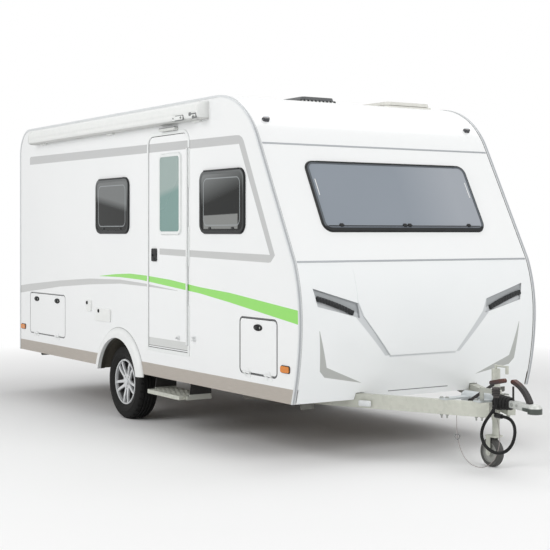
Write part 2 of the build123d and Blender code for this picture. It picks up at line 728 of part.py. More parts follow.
# Door hinge: knuckles on one pin, the leaves lie on the wall and on the door in turn
knuckle = (hinge_z[1] - hinge_z[0]) / KNUCKLES
wall_leaf = []
door_leaf = []
for index in range(KNUCKLES):
    z0 = hinge_z[0] + index * knuckle
    high = (z0, z0 + knuckle - KNUCKLE_GAP)
    barrel = rod("z", (hinge_x, hinge_y, z0), HINGE_RADIUS, knuckle - KNUCKLE_GAP)
    way = 1 if index % 2 == 0 else -1
    leaf = block((hinge_x, hinge_x + way * LEAF_WIDTH), (-HALF - LEAF, -HALF), high)
    web = block((hinge_x, hinge_x + way * LEAF_WEB), (hinge_y, -HALF - LEAF), high)
    (wall_leaf if way > 0 else door_leaf).append(barrel + leaf + web)
hinge_run = hinge_z[1] - hinge_z[0]
fixed_hinge = rod("z", (hinge_x, hinge_y, hinge_z[0]), HINGE_PIN, hinge_run - KNUCKLE_GAP)
for shape in wall_leaf:
    fixed_hinge += shape
bore_foot = (hinge_x, hinge_y, hinge_z[0] - HINGE_PIN)
hinge_bore = rod("z", bore_foot, HINGE_PIN + RUNNING_FIT, hinge_run + 2 * HINGE_PIN)
save("door_hinge_leaf", group([shape - hinge_bore for shape in door_leaf]))

# Door handle: a rounded plate with a pocket, a paddle in it and a lock barrel below
handle_spot = (door_x[0] + HANDLE_BACK, door_z[0] + HANDLE_RISE)
handle_face = -HALF - HANDLE_PROUD
handle = slab(panel(handle_spot, HANDLE_SIZE, HANDLE_CORNER), handle_face, -HALF)
pocket_top = handle_spot[1] + HANDLE_SIZE[1] / 2 - HANDLE_RIM
pocket = panel((handle_spot[0], pocket_top - POCKET_SIZE[1] / 2), POCKET_SIZE, HANDLE_RIM)
handle -= slab(pocket, handle_face, handle_face + POCKET_DEEP)
paddle_spot = (handle_spot[0], pocket_top - PADDLE_SIZE[1] / 2 - PADDLE_IN)
paddle = panel(paddle_spot, PADDLE_SIZE, HANDLE_RIM - PADDLE_IN)
handle += slab(paddle, handle_face + PADDLE_IN, handle_face + POCKET_DEEP)
lock_z = handle_spot[1] - HANDLE_SIZE[1] / 2 + HANDLE_RIM + LOCK_RADIUS
handle += rod("y", (handle_spot[0], handle_face - LOCK_PROUD, lock_z), LOCK_RADIUS, HANDLE_PROUD + LOCK_PROUD)
save("door_handle", handle)

# Locker doors, hinged along the lower edge
locker_hinges = []
for row in locker_table:
    z0 = BODY_BOTTOM + row["rise"]
    middle = (row["x0"] + row["length"] / 2, z0 + row["height"] / 2)
    lid = slab(panel(middle, (row["length"], row["height"]), LOCKER_CORNER), -HALF, -HALF + LOCKER_THICK)
    axis_y = -HALF - LOCKER_HINGE_RADIUS - LEAF + 1
    axis_z = z0 - LOCKER_GAP / 2
    for spot in (0.2, 0.8):
        x0 = row["x0"] + spot * row["length"] - 1.5 * LOCKER_KNUCKLE
        x1 = x0 + LOCKER_KNUCKLE + KNUCKLE_GAP / 2
        wide = LOCKER_KNUCKLE - KNUCKLE_GAP
        moving = rod("x", (x1, axis_y, axis_z), LOCKER_HINGE_RADIUS, wide)
        moving += block((x1, x1 + wide), (-HALF - LEAF, -HALF), (axis_z, axis_z + LEAF_WIDTH))
        moving += block((x1, x1 + wide), (axis_y, -HALF - LEAF), (axis_z, axis_z + LEAF_WEB))
        moving -= rod("x", (x0 - wide, axis_y, axis_z), HINGE_PIN + RUNNING_FIT, 5 * wide)
        lid += moving
        fixed = rod("x", (x0, axis_y, axis_z), HINGE_PIN, 3 * LOCKER_KNUCKLE)
        for start in (x0, x0 + 2 * LOCKER_KNUCKLE):
            stop = start + LOCKER_KNUCKLE
            fixed += rod("x", (start, axis_y, axis_z), LOCKER_HINGE_RADIUS, LOCKER_KNUCKLE)
            fixed += block((start, stop), (-HALF - LEAF, -HALF), (axis_z - LEAF_WIDTH, axis_z))
            fixed += block((start, stop), (axis_y, -HALF - LEAF), (axis_z - LEAF_WEB, axis_z))
        locker_hinges.append(fixed)
    save(row["name"], lid)
save("hinge_bases", group([fixed_hinge] + locker_hinges))

# Wheels: tyre, alloy rim with five forked spokes, brake drum
wheel_y = HALF - TYRE_INSET - TYRE_WIDTH / 2
half = TYRE_WIDTH / 2
rim_half = half - BEAD_IN


def tyre_section():
    """Half of the tyre from bead to tread, closed with its mirror."""
    bead = (RIM_RADIUS, rim_half)
    belly = (RIM_RADIUS + BELLY_PLACE * (TYRE_RADIUS - RIM_RADIUS), half)
    shoulder = (TYRE_RADIUS - SHOULDER_DROP, half - SHOULDER_IN)
    edge = (TYRE_RADIUS - CROWN_DROP, half - TREAD_EDGE)
    round_mid = (TYRE_RADIUS - SHOULDER_DROP / 3, half - 1.8 * SHOULDER_IN)
    crown = (TYRE_RADIUS, half - 2 * TREAD_EDGE)
    side = [
        ThreePointArc(bead, belly, shoulder),
        ThreePointArc(shoulder, round_mid, edge),
        Line(edge, crown),
    ]
    twin = [mirror(part, about=Plane.XZ) for part in side]
    tread = Line(crown, (crown[0], -crown[1]))
    seat = Line(bead, (bead[0], -bead[1]))
    return make_face(side + twin + [tread, seat])


tyre = revolve(tyre_section(), axis=Axis.Y)
barrel_in = RIM_RADIUS - RIM_WALL
face_y = rim_half
rim = turned_y(
    [
        (RIM_RADIUS, -rim_half),
        (RIM_RADIUS, rim_half),
        (RIM_RADIUS - RIM_LIP / 2, rim_half + RIM_LIP),
        (barrel_in, rim_half + RIM_LIP),
        (barrel_in - RIM_LIP / 2, rim_half - RIM_STEP),
        (barrel_in - RIM_LIP / 2, -rim_half),
    ]
)
hub_back = face_y - HUB_DEPTH
rim += rod("y", (0, hub_back, 0), HUB_RADIUS, HUB_DEPTH)
spoke_plane = Plane(origin=(0, face_y - SPOKE_DEPTH, 0), x_dir=(1, 0, 0), z_dir=(0, 1, 0))
spoke_in = HUB_RADIUS - SPOKE_INNER
for pair in range(SPOKE_PAIRS):
    for lean in (-1, 1):
        near = lean * SPOKE_SPLIT
        far = lean * SPOKE_SPREAD
        leg = make_face(
            Polyline(
                (near - SPOKE_INNER / 2, spoke_in),
                (near + SPOKE_INNER / 2, spoke_in),
                (far + SPOKE_OUTER / 2, barrel_in - RIM_LIP / 4),
                (far - SPOKE_OUTER / 2, barrel_in - RIM_LIP / 4),
                close=True,
            )
        )
        spoke = extrude(spoke_plane * leg, amount=SPOKE_DEPTH, taper=SPOKE_DRAFT)
        rim += Rot(0, pair * 360 / SPOKE_PAIRS, 0) * spoke
dish = [
    (0, face_y - HUB_DISH),
    (HUB_RADIUS, face_y - HUB_DISH),
    (barrel_in, face_y + RIM_LIP),
    (0, face_y + RIM_LIP),
]
rim -= turned_y(dish)
rim += rod("y", (0, face_y - 2 * HUB_DISH, 0), CAP_RADIUS, 2 * HUB_DISH - SEAM_GAP)
for hole in range(SPOKE_PAIRS):
    spot = Rot(0, (hole + 0.5) * 360 / SPOKE_PAIRS, 0) * Pos(0, 0, BOLT_CIRCLE)
    rim -= spot * rod("y", (0, face_y - HUB_DISH - BOLT_DEEP, 0), BOLT_HOLE, 2 * BOLT_DEEP)
drum_in = hub_back - DRUM_WIDTH
bore = STUB_RADIUS + RUNNING_FIT
drum = turned_y(
    [
        (bore, drum_in),
        (DRUM_RADIUS, drum_in),
        (DRUM_RADIUS, hub_back - DRUM_CHAMFER),
        (DRUM_RADIUS - DRUM_CHAMFER, hub_back),
        (bore, hub_back),
    ]
)
for name, sign in SIDES:
    place = Pos(X_AXLE, sign * wheel_y, TYRE_RADIUS) * Rot(0, 0, 0 if sign > 0 else 180)
    save("tyre_" + name, place * tyre)
    save("rim_" + name, place * rim)
    save("brake_drum_" + name, place * drum)

# Axle: square tube ahead of the wheels, trailing arms with backplates and stub axles
axle_x = X_AXLE + ARM_REACH
axle_z = RAIL_BOTTOM - AXLE_DROP
arm_y = RAIL_Y + RAIL_WIDTH / 2 + RAIL_SHEET
axle = Pos(axle_x, 0, axle_z) * Box(AXLE_TUBE, 2 * arm_y, AXLE_TUBE)
foot_face = make_face(
    Polyline(
        (axle_x - AXLE_TUBE / 2, axle_z),
        (axle_x + AXLE_TUBE / 2, axle_z),
        (axle_x + AXLE_FOOT, RAIL_BOTTOM),
        (axle_x - AXLE_FOOT, RAIL_BOTTOM),
        close=True,
    )
)
for _, sign in SIDES:
    axle += slab(foot_face, sign * (RAIL_Y - RAIL_WIDTH / 2), sign * (RAIL_Y + RAIL_WIDTH / 2))
save("axle_beam", axle)
axle_rise = axle_z - TYRE_RADIUS
arm_length = sqrt(ARM_REACH ** 2 + axle_rise ** 2)
arm_turn = degrees(atan2(axle_rise, ARM_REACH))
arm_spot = Pos(X_AXLE, TYRE_RADIUS) * Rot(0, 0, arm_turn) * Pos(arm_length / 2, 0)
arm = slab(arm_spot * SlotCenterToCenter(arm_length, ARM_WIDTH), arm_y, arm_y + ARM_THICK)
stub_end = wheel_y + hub_back - BACKPLATE
arm += rod("y", (X_AXLE, arm_y, TYRE_RADIUS), STUB_RADIUS, stub_end - arm_y)
arm += rod("y", (X_AXLE, wheel_y + drum_in - 2 * BACKPLATE, TYRE_RADIUS), DRUM_RADIUS + LEAF, BACKPLATE)
save("trailing_arms", both_sides(arm))

# Chassis rails: open channels with long holes, and cross members between them
rail_x = (X_REAR + RAIL_END, FRONT_LOW_X - RAIL_END)
rail_in = RAIL_Y - RAIL_WIDTH / 2
channel = make_face(
    Polyline(
        (rail_in, RAIL_BOTTOM),
        (rail_in + RAIL_WIDTH, RAIL_BOTTOM),
        (rail_in + RAIL_WIDTH, RAIL_BOTTOM + RAIL_SHEET),
        (rail_in + RAIL_SHEET, RAIL_BOTTOM + RAIL_SHEET),
        (rail_in + RAIL_SHEET, FLOOR_BOTTOM - RAIL_SHEET),
        (rail_in + RAIL_WIDTH, FLOOR_BOTTOM - RAIL_SHEET),
        (rail_in + RAIL_WIDTH, FLOOR_BOTTOM),
        (rail_in, FLOOR_BOTTOM),
        close=True,
    )
)
rail = across(channel, *rail_x)
hole_pitch = (rail_x[1] - rail_x[0]) / RAIL_HOLES
for index in range(RAIL_HOLES):
    spot = Pos(rail_x[0] + (index + 0.5) * hole_pitch, (RAIL_BOTTOM + FLOOR_BOTTOM) / 2)
    rail -= slab(spot * SlotOverall(*RAIL_HOLE), rail_in - RAIL_SHEET, rail_in + 2 * RAIL_SHEET)
save("chassis_rails", both_sides(rail))
cross_x = [X_REAR + share * BODY_RUN for share in CROSS_PLACES]
members = []
for x in cross_x:
    wide = (x - CROSS_WIDTH / 2, x + CROSS_WIDTH / 2)
    member = block(wide, (-rail_in, rail_in), (RAIL_BOTTOM + CROSS_RISE, FLOOR_BOTTOM))
    hollow = (RAIL_BOTTOM, FLOOR_BOTTOM - RAIL_SHEET)
    member -= block((wide[0] + RAIL_SHEET, wide[1]), (-rail_in, rail_in), hollow)
    members.append(member)
save("cross_members", group(members))

# Overrun housing on two flange plates that lie on the drawbar
housing_x = (X_TIP - HOUSING_BACK, X_TIP - HOUSING_BACK + HOUSING_LENGTH)
plate_top = RAIL_BOTTOM + FLANGE_THICK
housing = rod("x", (housing_x[0], 0, HITCH_Z), HOUSING_RADIUS, HOUSING_LENGTH)
flange_table = [
    {"start": 30.0, "length": 70.0},
    {"start": 254.0, "length": 70.0},
]
for row in flange_table:
    x0 = housing_x[0] + row["start"]
    spread = bar_y(x0 + row["length"] / 2) + FLANGE_SPREAD
    face = Pos(x0 + row["length"] / 2, 0, RAIL_BOTTOM) * RectangleRounded(row["length"], 2 * spread, 10)
    housing += extrude(face, amount=FLANGE_THICK)
hanger_x = housing_x[1]
housing += block((hanger_x - 30, hanger_x), (-60, -20), (HITCH_Z - 74, HITCH_Z - 32))
housing += block((hanger_x - 30, hanger_x + 62), (-62, -46), (HITCH_Z - 74, HITCH_Z - 66))
housing += rod("x", (hanger_x + 41, -54, HITCH_Z - 84), 16, 62)
save("hitch_housing", housing)
fold = BELLOWS_LENGTH / BELLOWS_FOLDS
valley = [BELLOWS_RADIUS - BELLOWS_DEEP - BELLOWS_TAPER * index for index in range(BELLOWS_FOLDS + 1)]
folds = [
    ThreePointArc(
        (hanger_x + index * fold, valley[index]),
        (hanger_x + (index + 0.5) * fold, valley[index] + BELLOWS_DEEP),
        (hanger_x + (index + 1) * fold, valley[index + 1]),
    )
    for index in range(BELLOWS_FOLDS)
]
bellows_end = hanger_x + BELLOWS_LENGTH
sleeve_radius = SHAFT_RADIUS + SHAFT_PLAY
back = Polyline(
    (bellows_end, valley[-1]),
    (bellows_end, sleeve_radius),
    (hanger_x, sleeve_radius),
    (hanger_x, valley[0]),
)
save("hitch_bellows", Pos(0, 0, HITCH_Z) * revolve(make_face(folds + [back]), axis=Axis.X))

# Coupling head: a neck that widens into the ball cup, which opens downward
ball_x = X_TIP - CUP_RADIUS
ball_z = HITCH_Z - BALL_DROP
cup_low = ball_z - BALL_DEEP
head_x = bellows_end + 2 * SHAFT_PLAY
head = rod("x", (hanger_x, 0, HITCH_Z), SHAFT_RADIUS - SHAFT_PLAY, head_x - hanger_x + NECK_CORNER)
neck_start = Plane.YZ.offset(head_x) * panel((0, HITCH_Z), NECK_SIZE, NECK_CORNER)
neck_end = Plane.YZ.offset(ball_x) * panel((0, ball_z + 6), NECK_END, NECK_CORNER)
head += loft([neck_start, neck_end])
cup_section = make_face(
    [
        Polyline((0, CUP_HEIGHT), (0, 0), (CUP_RADIUS, 0), (CUP_RADIUS, CUP_WALL)),
        ThreePointArc((CUP_RADIUS, CUP_WALL), (0.72 * CUP_RADIUS, 0.84 * CUP_HEIGHT), (0, CUP_HEIGHT)),
    ]
)
head += Pos(ball_x, 0, cup_low) * revolve(Plane.XZ * cup_section, axis=Axis.Z)
ball_mid = BALL_RADIUS * sin(radians(45))
ball_section = make_face(
    [
        Polyline(
            (0, BALL_RADIUS),
            (0, -BALL_DEEP - SHAFT_PLAY),
            (BALL_RADIUS, -BALL_DEEP - SHAFT_PLAY),
            (BALL_RADIUS, 0),
        ),
        ThreePointArc((BALL_RADIUS, 0), (ball_mid, ball_mid), (0, BALL_RADIUS)),
    ]
)
head -= Pos(ball_x, 0, ball_z) * revolve(Plane.XZ * ball_section, axis=Axis.Z)
save("coupling_head", head)

# Levers: curved coupling grip, handbrake lever with its grip, wear pin
grip_arc = ThreePointArc(
    (ball_x - 47, HITCH_Z + 26),
    (ball_x - 108, HITCH_Z + 104),
    (ball_x - 195, HITCH_Z + 150),
)
coupling_grip = slab(SlotArc(grip_arc, GRIP_WIDTH), -GRIP_THICK / 2, GRIP_THICK / 2) - head
lever_low = Vector(housing_x[0] + LEVER_START, HITCH_Z - LEVER_DROP)
lever_high = lever_low + Vector(*LEVER_RUN)
lever_run = lever_high - lever_low
lever_turn = degrees(atan2(lever_run.Y, lever_run.X))
lever_middle = (lever_low + lever_high) * 0.5
lever_place = Pos(lever_middle.X, lever_middle.Y) * Rot(0, 0, lever_turn)
lever_face = lever_place * SlotCenterToCenter(lever_run.length, LEVER_WIDTH)
lever_y = (-HOUSING_RADIUS - LEVER_AWAY - LEVER_THICK, -HOUSING_RADIUS - LEVER_AWAY)
lever = slab(lever_face, *lever_y)
lever_grip = Pos(lever_high.X + 50, lever_high.Y + 26) * Rot(0, 0, 12) * SlotOverall(150, 30)
lever += slab(lever_grip, lever_y[0] - LEVER_THICK / 2, lever_y[1] + LEVER_THICK / 2)
lever += rod("y", (lever_low.X, lever_y[0], lever_low.Y), LEVER_WIDTH / 2 + 4, HOUSING_RADIUS)
wear_pin = rod("z", (head_x + NECK_CORNER, 0, HITCH_Z), 7, 118)
save("hitch_levers", group([coupling_grip, lever - housing, wear_pin - head]))

# Jockey wheel: clamp, tube with crank, swivelling fork, wheel
jockey_x = X_TIP - JOCKEY_BACK
jockey_y = HOUSING_RADIUS + JOCKEY_TUBE + JOCKEY_ROOM
tube_low = RAIL_BOTTOM - JOCKEY_DROP
tube_high = RAIL_BOTTOM + JOCKEY_RISE
tube = rod("z", (jockey_x, jockey_y, tube_low), JOCKEY_TUBE, tube_high - tube_low)
tube -= rod("z", (jockey_x, jockey_y, tube_low - 1), JOCKEY_LEG + RUNNING_FIT, 2 * JOCKEY_GRIP)
tube += rod("z", (jockey_x, jockey_y, tube_high), CRANK_RADIUS + 2, 4 * CRANK_RADIUS)
tube += rod("x", (jockey_x, jockey_y, tube_high + 3 * CRANK_RADIUS), CRANK_RADIUS, CRANK_REACH)
tube += rod("z", (jockey_x + CRANK_REACH, jockey_y, tube_high - 4 * CRANK_RADIUS), 12, 8 * CRANK_RADIUS)
save("jockey_tube", tube)
clamp = rod("z", (jockey_x, jockey_y, RAIL_BOTTOM - CLAMP_HEIGHT / 3), JOCKEY_TUBE + CLAMP_WALL, CLAMP_HEIGHT)
clamp_foot = (jockey_y, bar_y(jockey_x) + BAR_WIDTH / 3)
clamp += block((jockey_x - 32, jockey_x + 32), clamp_foot, (RAIL_BOTTOM, RAIL_BOTTOM + 14))
clamp -= rod("z", (jockey_x, jockey_y, 0), JOCKEY_TUBE, ROOF_TOP)
save("jockey_clamp", clamp - bar)
jockey_axle = (jockey_x - JOCKEY_TRAIL, jockey_y, JOCKEY_RADIUS)
crown_z = 2 * JOCKEY_RADIUS + JOCKEY_PIN
cheek_y = JOCKEY_WIDTH / 2 + 6
leg_length = tube_low + JOCKEY_GRIP - crown_z
fork = rod("z", (jockey_x, jockey_y, crown_z), JOCKEY_LEG, leg_length)
crown = RectangleRounded(JOCKEY_TRAIL + 2 * JOCKEY_LEG + 8, 2 * cheek_y + 2 * JOCKEY_CHEEK, 6)
fork += Pos(jockey_x - JOCKEY_TRAIL / 2, jockey_y, crown_z) * extrude(crown, amount=12)
cheek = Pos(jockey_axle[0], JOCKEY_RADIUS) * Circle(22)
cheek += Pos(jockey_axle[0], (JOCKEY_RADIUS + crown_z) / 2 + 3) * Rectangle(40, crown_z - JOCKEY_RADIUS + 6)
for _, sign in SIDES:
    fork += slab(cheek, jockey_y + sign * cheek_y, jockey_y + sign * (cheek_y + JOCKEY_CHEEK))
pin_reach = cheek_y + 2 * JOCKEY_CHEEK
fork += rod("y", (jockey_axle[0], jockey_y - pin_reach, JOCKEY_RADIUS), JOCKEY_PIN, 2 * pin_reach)
save("jockey_fork", fork)
jw = JOCKEY_WIDTH / 2
hub_bore = JOCKEY_PIN + RUNNING_FIT
tread_in = JOCKEY_RADIUS - 30
jockey_half = [
    (hub_bore, jw),
    (26, jw),
    (30, jw - 14),
    (tread_in - 6, jw - 14),
    (tread_in, jw - 2),
    (JOCKEY_RADIUS - 8, jw - 4),
    (JOCKEY_RADIUS, jw - 16),
]
jockey_points = jockey_half + [(r, -y) for r, y in reversed(jockey_half)]
save("jockey_wheel", Pos(*jockey_axle) * turned_y(jockey_points))

# Corner steadies folded up under the floor: bracket, channel arm, spindle and foot
steady_table = [
    {"pivot": X_BULGE - STEADY_FRONT, "way": 1},
    {"pivot": X_REAR + STEADY_REAR, "way": -1},
]
steady_y = HALF - STEADY_INSET
steadies = []
for row in steady_table:
    pivot = row["pivot"]
    end = pivot + row["way"] * STEADY_ARM
    outside = (steady_y - STEADY_CHEEK, steady_y + STEADY_CHEEK)
    inside = (outside[0] + STEADY_SHEET, outside[1] - STEADY_SHEET)
    cheek = (pivot - STEADY_CHEEK, pivot + STEADY_CHEEK)
    bracket = block(cheek, outside, (RAIL_BOTTOM, FLOOR_BOTTOM))
    bracket -= block(cheek, inside, (RAIL_BOTTOM, FLOOR_BOTTOM - STEADY_SHEET))
    arm_face = make_face(
        Polyline(
            (pivot - row["way"] * 2 * STEADY_BOLT, RAIL_BOTTOM + STEADY_DROP),
            (pivot - row["way"] * 2 * STEADY_BOLT, RAIL_BOTTOM - STEADY_BOLT),
            (end, RAIL_BOTTOM - STEADY_DROP),
            (end, RAIL_BOTTOM),
            close=True,
        )
    )
    inner_face = Pos(0, STEADY_SHEET) * arm_face
    arm = slab(arm_face, *[y + s * STEADY_SHEET for y, s in zip(inside, (1, -1))])
    arm -= slab(inner_face, *[y + s * 2 * STEADY_SHEET for y, s in zip(inside, (1, -1))])
    bolt_z = RAIL_BOTTOM + STEADY_DROP / 2
    bolt_length = 2 * STEADY_CHEEK + 2 * STEADY_SHEET
    bolt = rod("y", (pivot, outside[0] - STEADY_SHEET, bolt_z), STEADY_BOLT, bolt_length)
    spindle_x = min(pivot, end + row["way"] * STEADY_CHEEK)
    spindle = rod("x", (spindle_x, steady_y, bolt_z), STEADY_SPINDLE, STEADY_ARM + STEADY_CHEEK)
    foot_middle = (steady_y, RAIL_BOTTOM - STEADY_FOOT_DROP)
    foot = across(panel(foot_middle, STEADY_FOOT, 14), end - STEADY_SHEET, end + STEADY_SHEET)
    steadies.append(both_sides(bracket + arm + bolt + spindle + foot))
save("corner_steadies", group(steadies))

# Step: slotted tread with runners, guides hang from the floor
step_x = (X_DOOR - STEP_BEHIND - STEP_WIDTH / 2, X_DOOR - STEP_BEHIND + STEP_WIDTH / 2)
step_y = (-HALF - STEP_OUT, -HALF - STEP_OUT + STEP_DEPTH)
step_top = BODY_BOTTOM - STEP_DROP
tread = block(step_x, step_y, (step_top - STEP_EDGE, step_top))
tread -= block(
    (step_x[0] + STEP_SHEET, step_x[1] - STEP_SHEET),
    (step_y[0] + STEP_SHEET, step_y[1] - STEP_SHEET),
    (step_top - STEP_EDGE - 1, step_top - STEP_SHEET),
)
step_middle = Pos((step_x[0] + step_x[1]) / 2, (step_y[0] + step_y[1]) / 2, step_top - 2 * STEP_SHEET)
slot_pitch = (STEP_WIDTH / (STEP_SLOT_COLUMNS + 0.3), STEP_DEPTH / (STEP_SLOT_ROWS + 0.5))
slots = GridLocations(*slot_pitch, STEP_SLOT_COLUMNS, STEP_SLOT_ROWS) * SlotOverall(*STEP_SLOT)
tread -= step_middle * extrude(Sketch() + slots, amount=4 * STEP_SHEET)
runner_z = (step_top - 12 - RUNNER_HEIGHT, step_top - 12)
guides = []
for x, way in ((step_x[0], -1), (step_x[1], 1)):
    tread += block((x, x + way * RUNNER_WIDTH), (step_y[0] + STEP_OUT, step_y[1]), runner_z)
    guide = block(
        (x + way * (STEP_SHEET + GUIDE_PLAY), x + way * GUIDE_WIDTH),
        (step_y[0] + 60, step_y[1] + 20),
        (runner_z[0] - 8, runner_z[1] + 8),
    )
    guide -= block(
        (x, x + way * (RUNNER_WIDTH + GUIDE_PLAY)),
        (step_y[0], step_y[1] + 21),
        (runner_z[0] - GUIDE_PLAY, runner_z[1] + GUIDE_PLAY),
    )
    hanger = make_face(
        Polyline(
            (step_y[0] + 110, FLOOR_BOTTOM),
            (step_y[0] + 80, runner_z[1] + 2),
            (step_y[1] + 20, runner_z[1] + 2),
            (step_y[1] + 20, FLOOR_BOTTOM),
            close=True,
        )
    )
    guide += across(hanger, x + way * (RUNNER_WIDTH + 2), x + way * GUIDE_WIDTH)
    guides.append(guide)
save("step_tread", tread)
save("step_guides", group(guides))

# Awning case on the right wall: a rounded profile with a lead rail and end caps
awning_x = (X_REAR + AWNING_REAR, X_ROOF_FRONT - AWNING_BACK)
awning_z = (ROOF_TOP - AWNING_DROP - AWNING_HEIGHT, ROOF_TOP - AWNING_DROP)
awning_y = -HALF - AWNING_OUT
high_arc = [
    (-HALF - 0.42 * AWNING_OUT, awning_z[1]),
    (awning_y + 17, awning_z[1] - 20),
    (awning_y, awning_z[1] - 62),
]
low_arc = [
    (awning_y, awning_z[0] + 36),
    (awning_y + 12, awning_z[0] + 9),
    (-HALF - 0.55 * AWNING_OUT, awning_z[0]),
]
awning_section = make_face(
    [
        Polyline(low_arc[2], (-HALF, awning_z[0]), (-HALF, awning_z[1]), high_arc[0]),
        ThreePointArc(*high_arc),
        Line(high_arc[2], low_arc[0]),
        ThreePointArc(*low_arc),
    ]
)
awning = across(awning_section, *awning_x)
groove_z = (awning_z[0] + LEAD_RAIL, awning_z[0] + LEAD_RAIL + LEAD_GROOVE)
awning -= block(awning_x, (awning_y - 1, awning_y + LEAD_GROOVE), groove_z)
cap_section = offset(awning_section, amount=AWNING_CAP_PROUD, kind=Kind.INTERSECTION)
cap_section &= Pos(-HALF - LONG / 2, ROOF_TOP) * Rectangle(LONG, LONG)
for x0, x1 in ((awning_x[0], awning_x[0] + AWNING_CAP), (awning_x[1] - AWNING_CAP, awning_x[1])):
    awning += across(cap_section, x0, x1)
save("awning_case", awning)
porch_spot = (X_DOOR + PORCH_LAMP_AHEAD, ROOF_TOP - PORCH_LAMP_DROP)
save("porch_lamp", slab(panel(porch_spot, PORCH_LAMP, 9), -HALF - PORCH_LAMP_OUT, -HALF))

# Roof hatch: frame fixed, lid hinged at its rear edge; vent dome
hatch_spot = Pos(hatch_x, hatch_y, ROOF_TOP)
hatch_in = hatch_hole - 2 * BOX_SKIN - 8
hatch_frame = hatch_spot * extrude(RectangleRounded(HATCH_SIZE, HATCH_SIZE, HATCH_CORNER), amount=HATCH_FRAME)
hatch_frame += hatch_spot * Pos(0, 0, -WALL) * extrude(Rectangle(hatch_hole, hatch_hole), amount=WALL)
hatch_frame -= hatch_spot * Box(hatch_in, hatch_in, 4 * WALL)
hatch_axis = (hatch_x - HATCH_SIZE / 2 + 12, ROOF_TOP + HATCH_FRAME + 12)
lid_base = HATCH_FRAME + 6
lid_size = HATCH_SIZE - 56
lid_face = RectangleRounded(lid_size, lid_size + 20, HATCH_CORNER)
lid = hatch_spot * Pos(14, 0, lid_base) * extrude(lid_face, amount=HATCH_HEIGHT - lid_base, taper=12)
ear = HATCH_LUG / 2 + SEAM_GAP
for _, sign in SIDES:
    y0 = hatch_y + sign * HATCH_LUG_SIDE - HATCH_LUG / 2
    hold_x = (hatch_axis[0] - 8, hatch_axis[0] + 8)
    hold = block(hold_x, (y0 - ear, y0 - SEAM_GAP), (ROOF_TOP + HATCH_FRAME, hatch_axis[1]))
    hold += rod("y", (hatch_axis[0], y0 - ear, hatch_axis[1]), 8, ear - SEAM_GAP)
    hold += rod("y", (hatch_axis[0], y0 - ear, hatch_axis[1]), HINGE_PIN, ear + HATCH_LUG)
    hatch_frame += hold
    lug = rod("y", (hatch_axis[0], y0, hatch_axis[1]), 8, HATCH_LUG)
    lug_x = (hatch_axis[0], hatch_axis[0] + HATCH_LUG)
    lug += block(lug_x, (y0, y0 + HATCH_LUG), (hatch_axis[1] - 4, hatch_axis[1] + 8))
    lug -= rod("y", (hatch_axis[0], y0 - ear, hatch_axis[1]), HINGE_PIN + RUNNING_FIT, 2 * ear + HATCH_LUG)
    lid += lug
save("roof_hatch_frame", hatch_frame)
save("roof_hatch_lid", lid)
vent_spot = Pos(X_ROOF_FRONT - VENT_BACK, VENT_Y, ROOF_TOP)
vent = vent_spot * extrude(RectangleRounded(VENT_SIZE, VENT_SIZE, HATCH_CORNER), amount=VENT_BASE)
dome_face = RectangleRounded(VENT_SIZE - 30, VENT_SIZE - 30, 60)
vent += vent_spot * Pos(0, 0, VENT_BASE) * extrude(dome_face, amount=VENT_HEIGHT - VENT_BASE, taper=24)
save("roof_vent", vent)

# Lamps: side markers, roof markers, tail lamps, high brake lamp
markers = []
for x in (X_REAR + MARKER_REAR, X_BULGE - MARKER_FRONT):
    lens = panel((x, BODY_BOTTOM + MARKER_RISE), MARKER_SIZE, MARKER_SIZE[1] / 3)
    markers.append(both_sides(slab(lens, HALF, HALF + MARKER_PROUD)))
lamp_turn = radians(ROOF_LAMP_TURN)
lamp_x = X_ROOF_FRONT + FRONT_TOP_RADIUS * cos(lamp_turn)
lamp_z = ROOF_TOP - FRONT_TOP_RADIUS * (1 - sin(lamp_turn))
for _, sign in SIDES:
    place = Plane(
        origin=(lamp_x, sign * (HALF - ROOF_LAMP_INSET), lamp_z),
        x_dir=(0, 1, 0),
        z_dir=(cos(lamp_turn), 0, sin(lamp_turn)),
    )
    lens_face = place.offset(-ROOF_LAMP_SUNK) * RectangleRounded(*ROOF_LAMP_SIZE, ROOF_LAMP_CORNER)
    lens = extrude(lens_face, amount=ROOF_LAMP_HEIGHT, taper=14)
    markers.append(lens - roof)
save("marker_lamps", group(markers))
tail_y = HALF - TAIL_INSET
tail_middle = (0, BODY_BOTTOM + TAIL_LOW + TAIL_HEIGHT / 2)
tail_size = (2 * (HALF - TAIL_SIDE), TAIL_HEIGHT)
tail_panel = across(panel(tail_middle, tail_size, TAIL_CORNER), X_REAR - TAIL_PROUD, X_REAR)
tail = []
for _, sign in SIDES:
    spot = (sign * tail_y, BODY_BOTTOM + TAIL_LAMP_RISE)
    room = (TAIL_LAMP[0] + 2 * SEAM_GAP, TAIL_LAMP[1] + 2 * SEAM_GAP)
    tail_panel -= across(panel(spot, room, TAIL_LAMP_CORNER + SEAM_GAP), X_REAR - 2 * TAIL_PROUD, X_REAR + 1)
    tail.append(across(panel(spot, TAIL_LAMP, TAIL_LAMP_CORNER), X_REAR - REAR_PROUD, X_REAR))
tail.append(across(panel((0, rear_seam_z - BRAKE_LAMP_DROP), BRAKE_LAMP, 10), X_REAR - PLATE_DEEP, X_REAR))
recess_face = panel((0, BODY_BOTTOM + PLATE_RISE), PLATE_RECESS, 12)
recess = across(recess_face, X_REAR - 2 * TAIL_PROUD, X_REAR - TAIL_PROUD + PLATE_DEEP)
save("tail_lamps", group(tail))
save("tail_panel", tail_panel - recess)

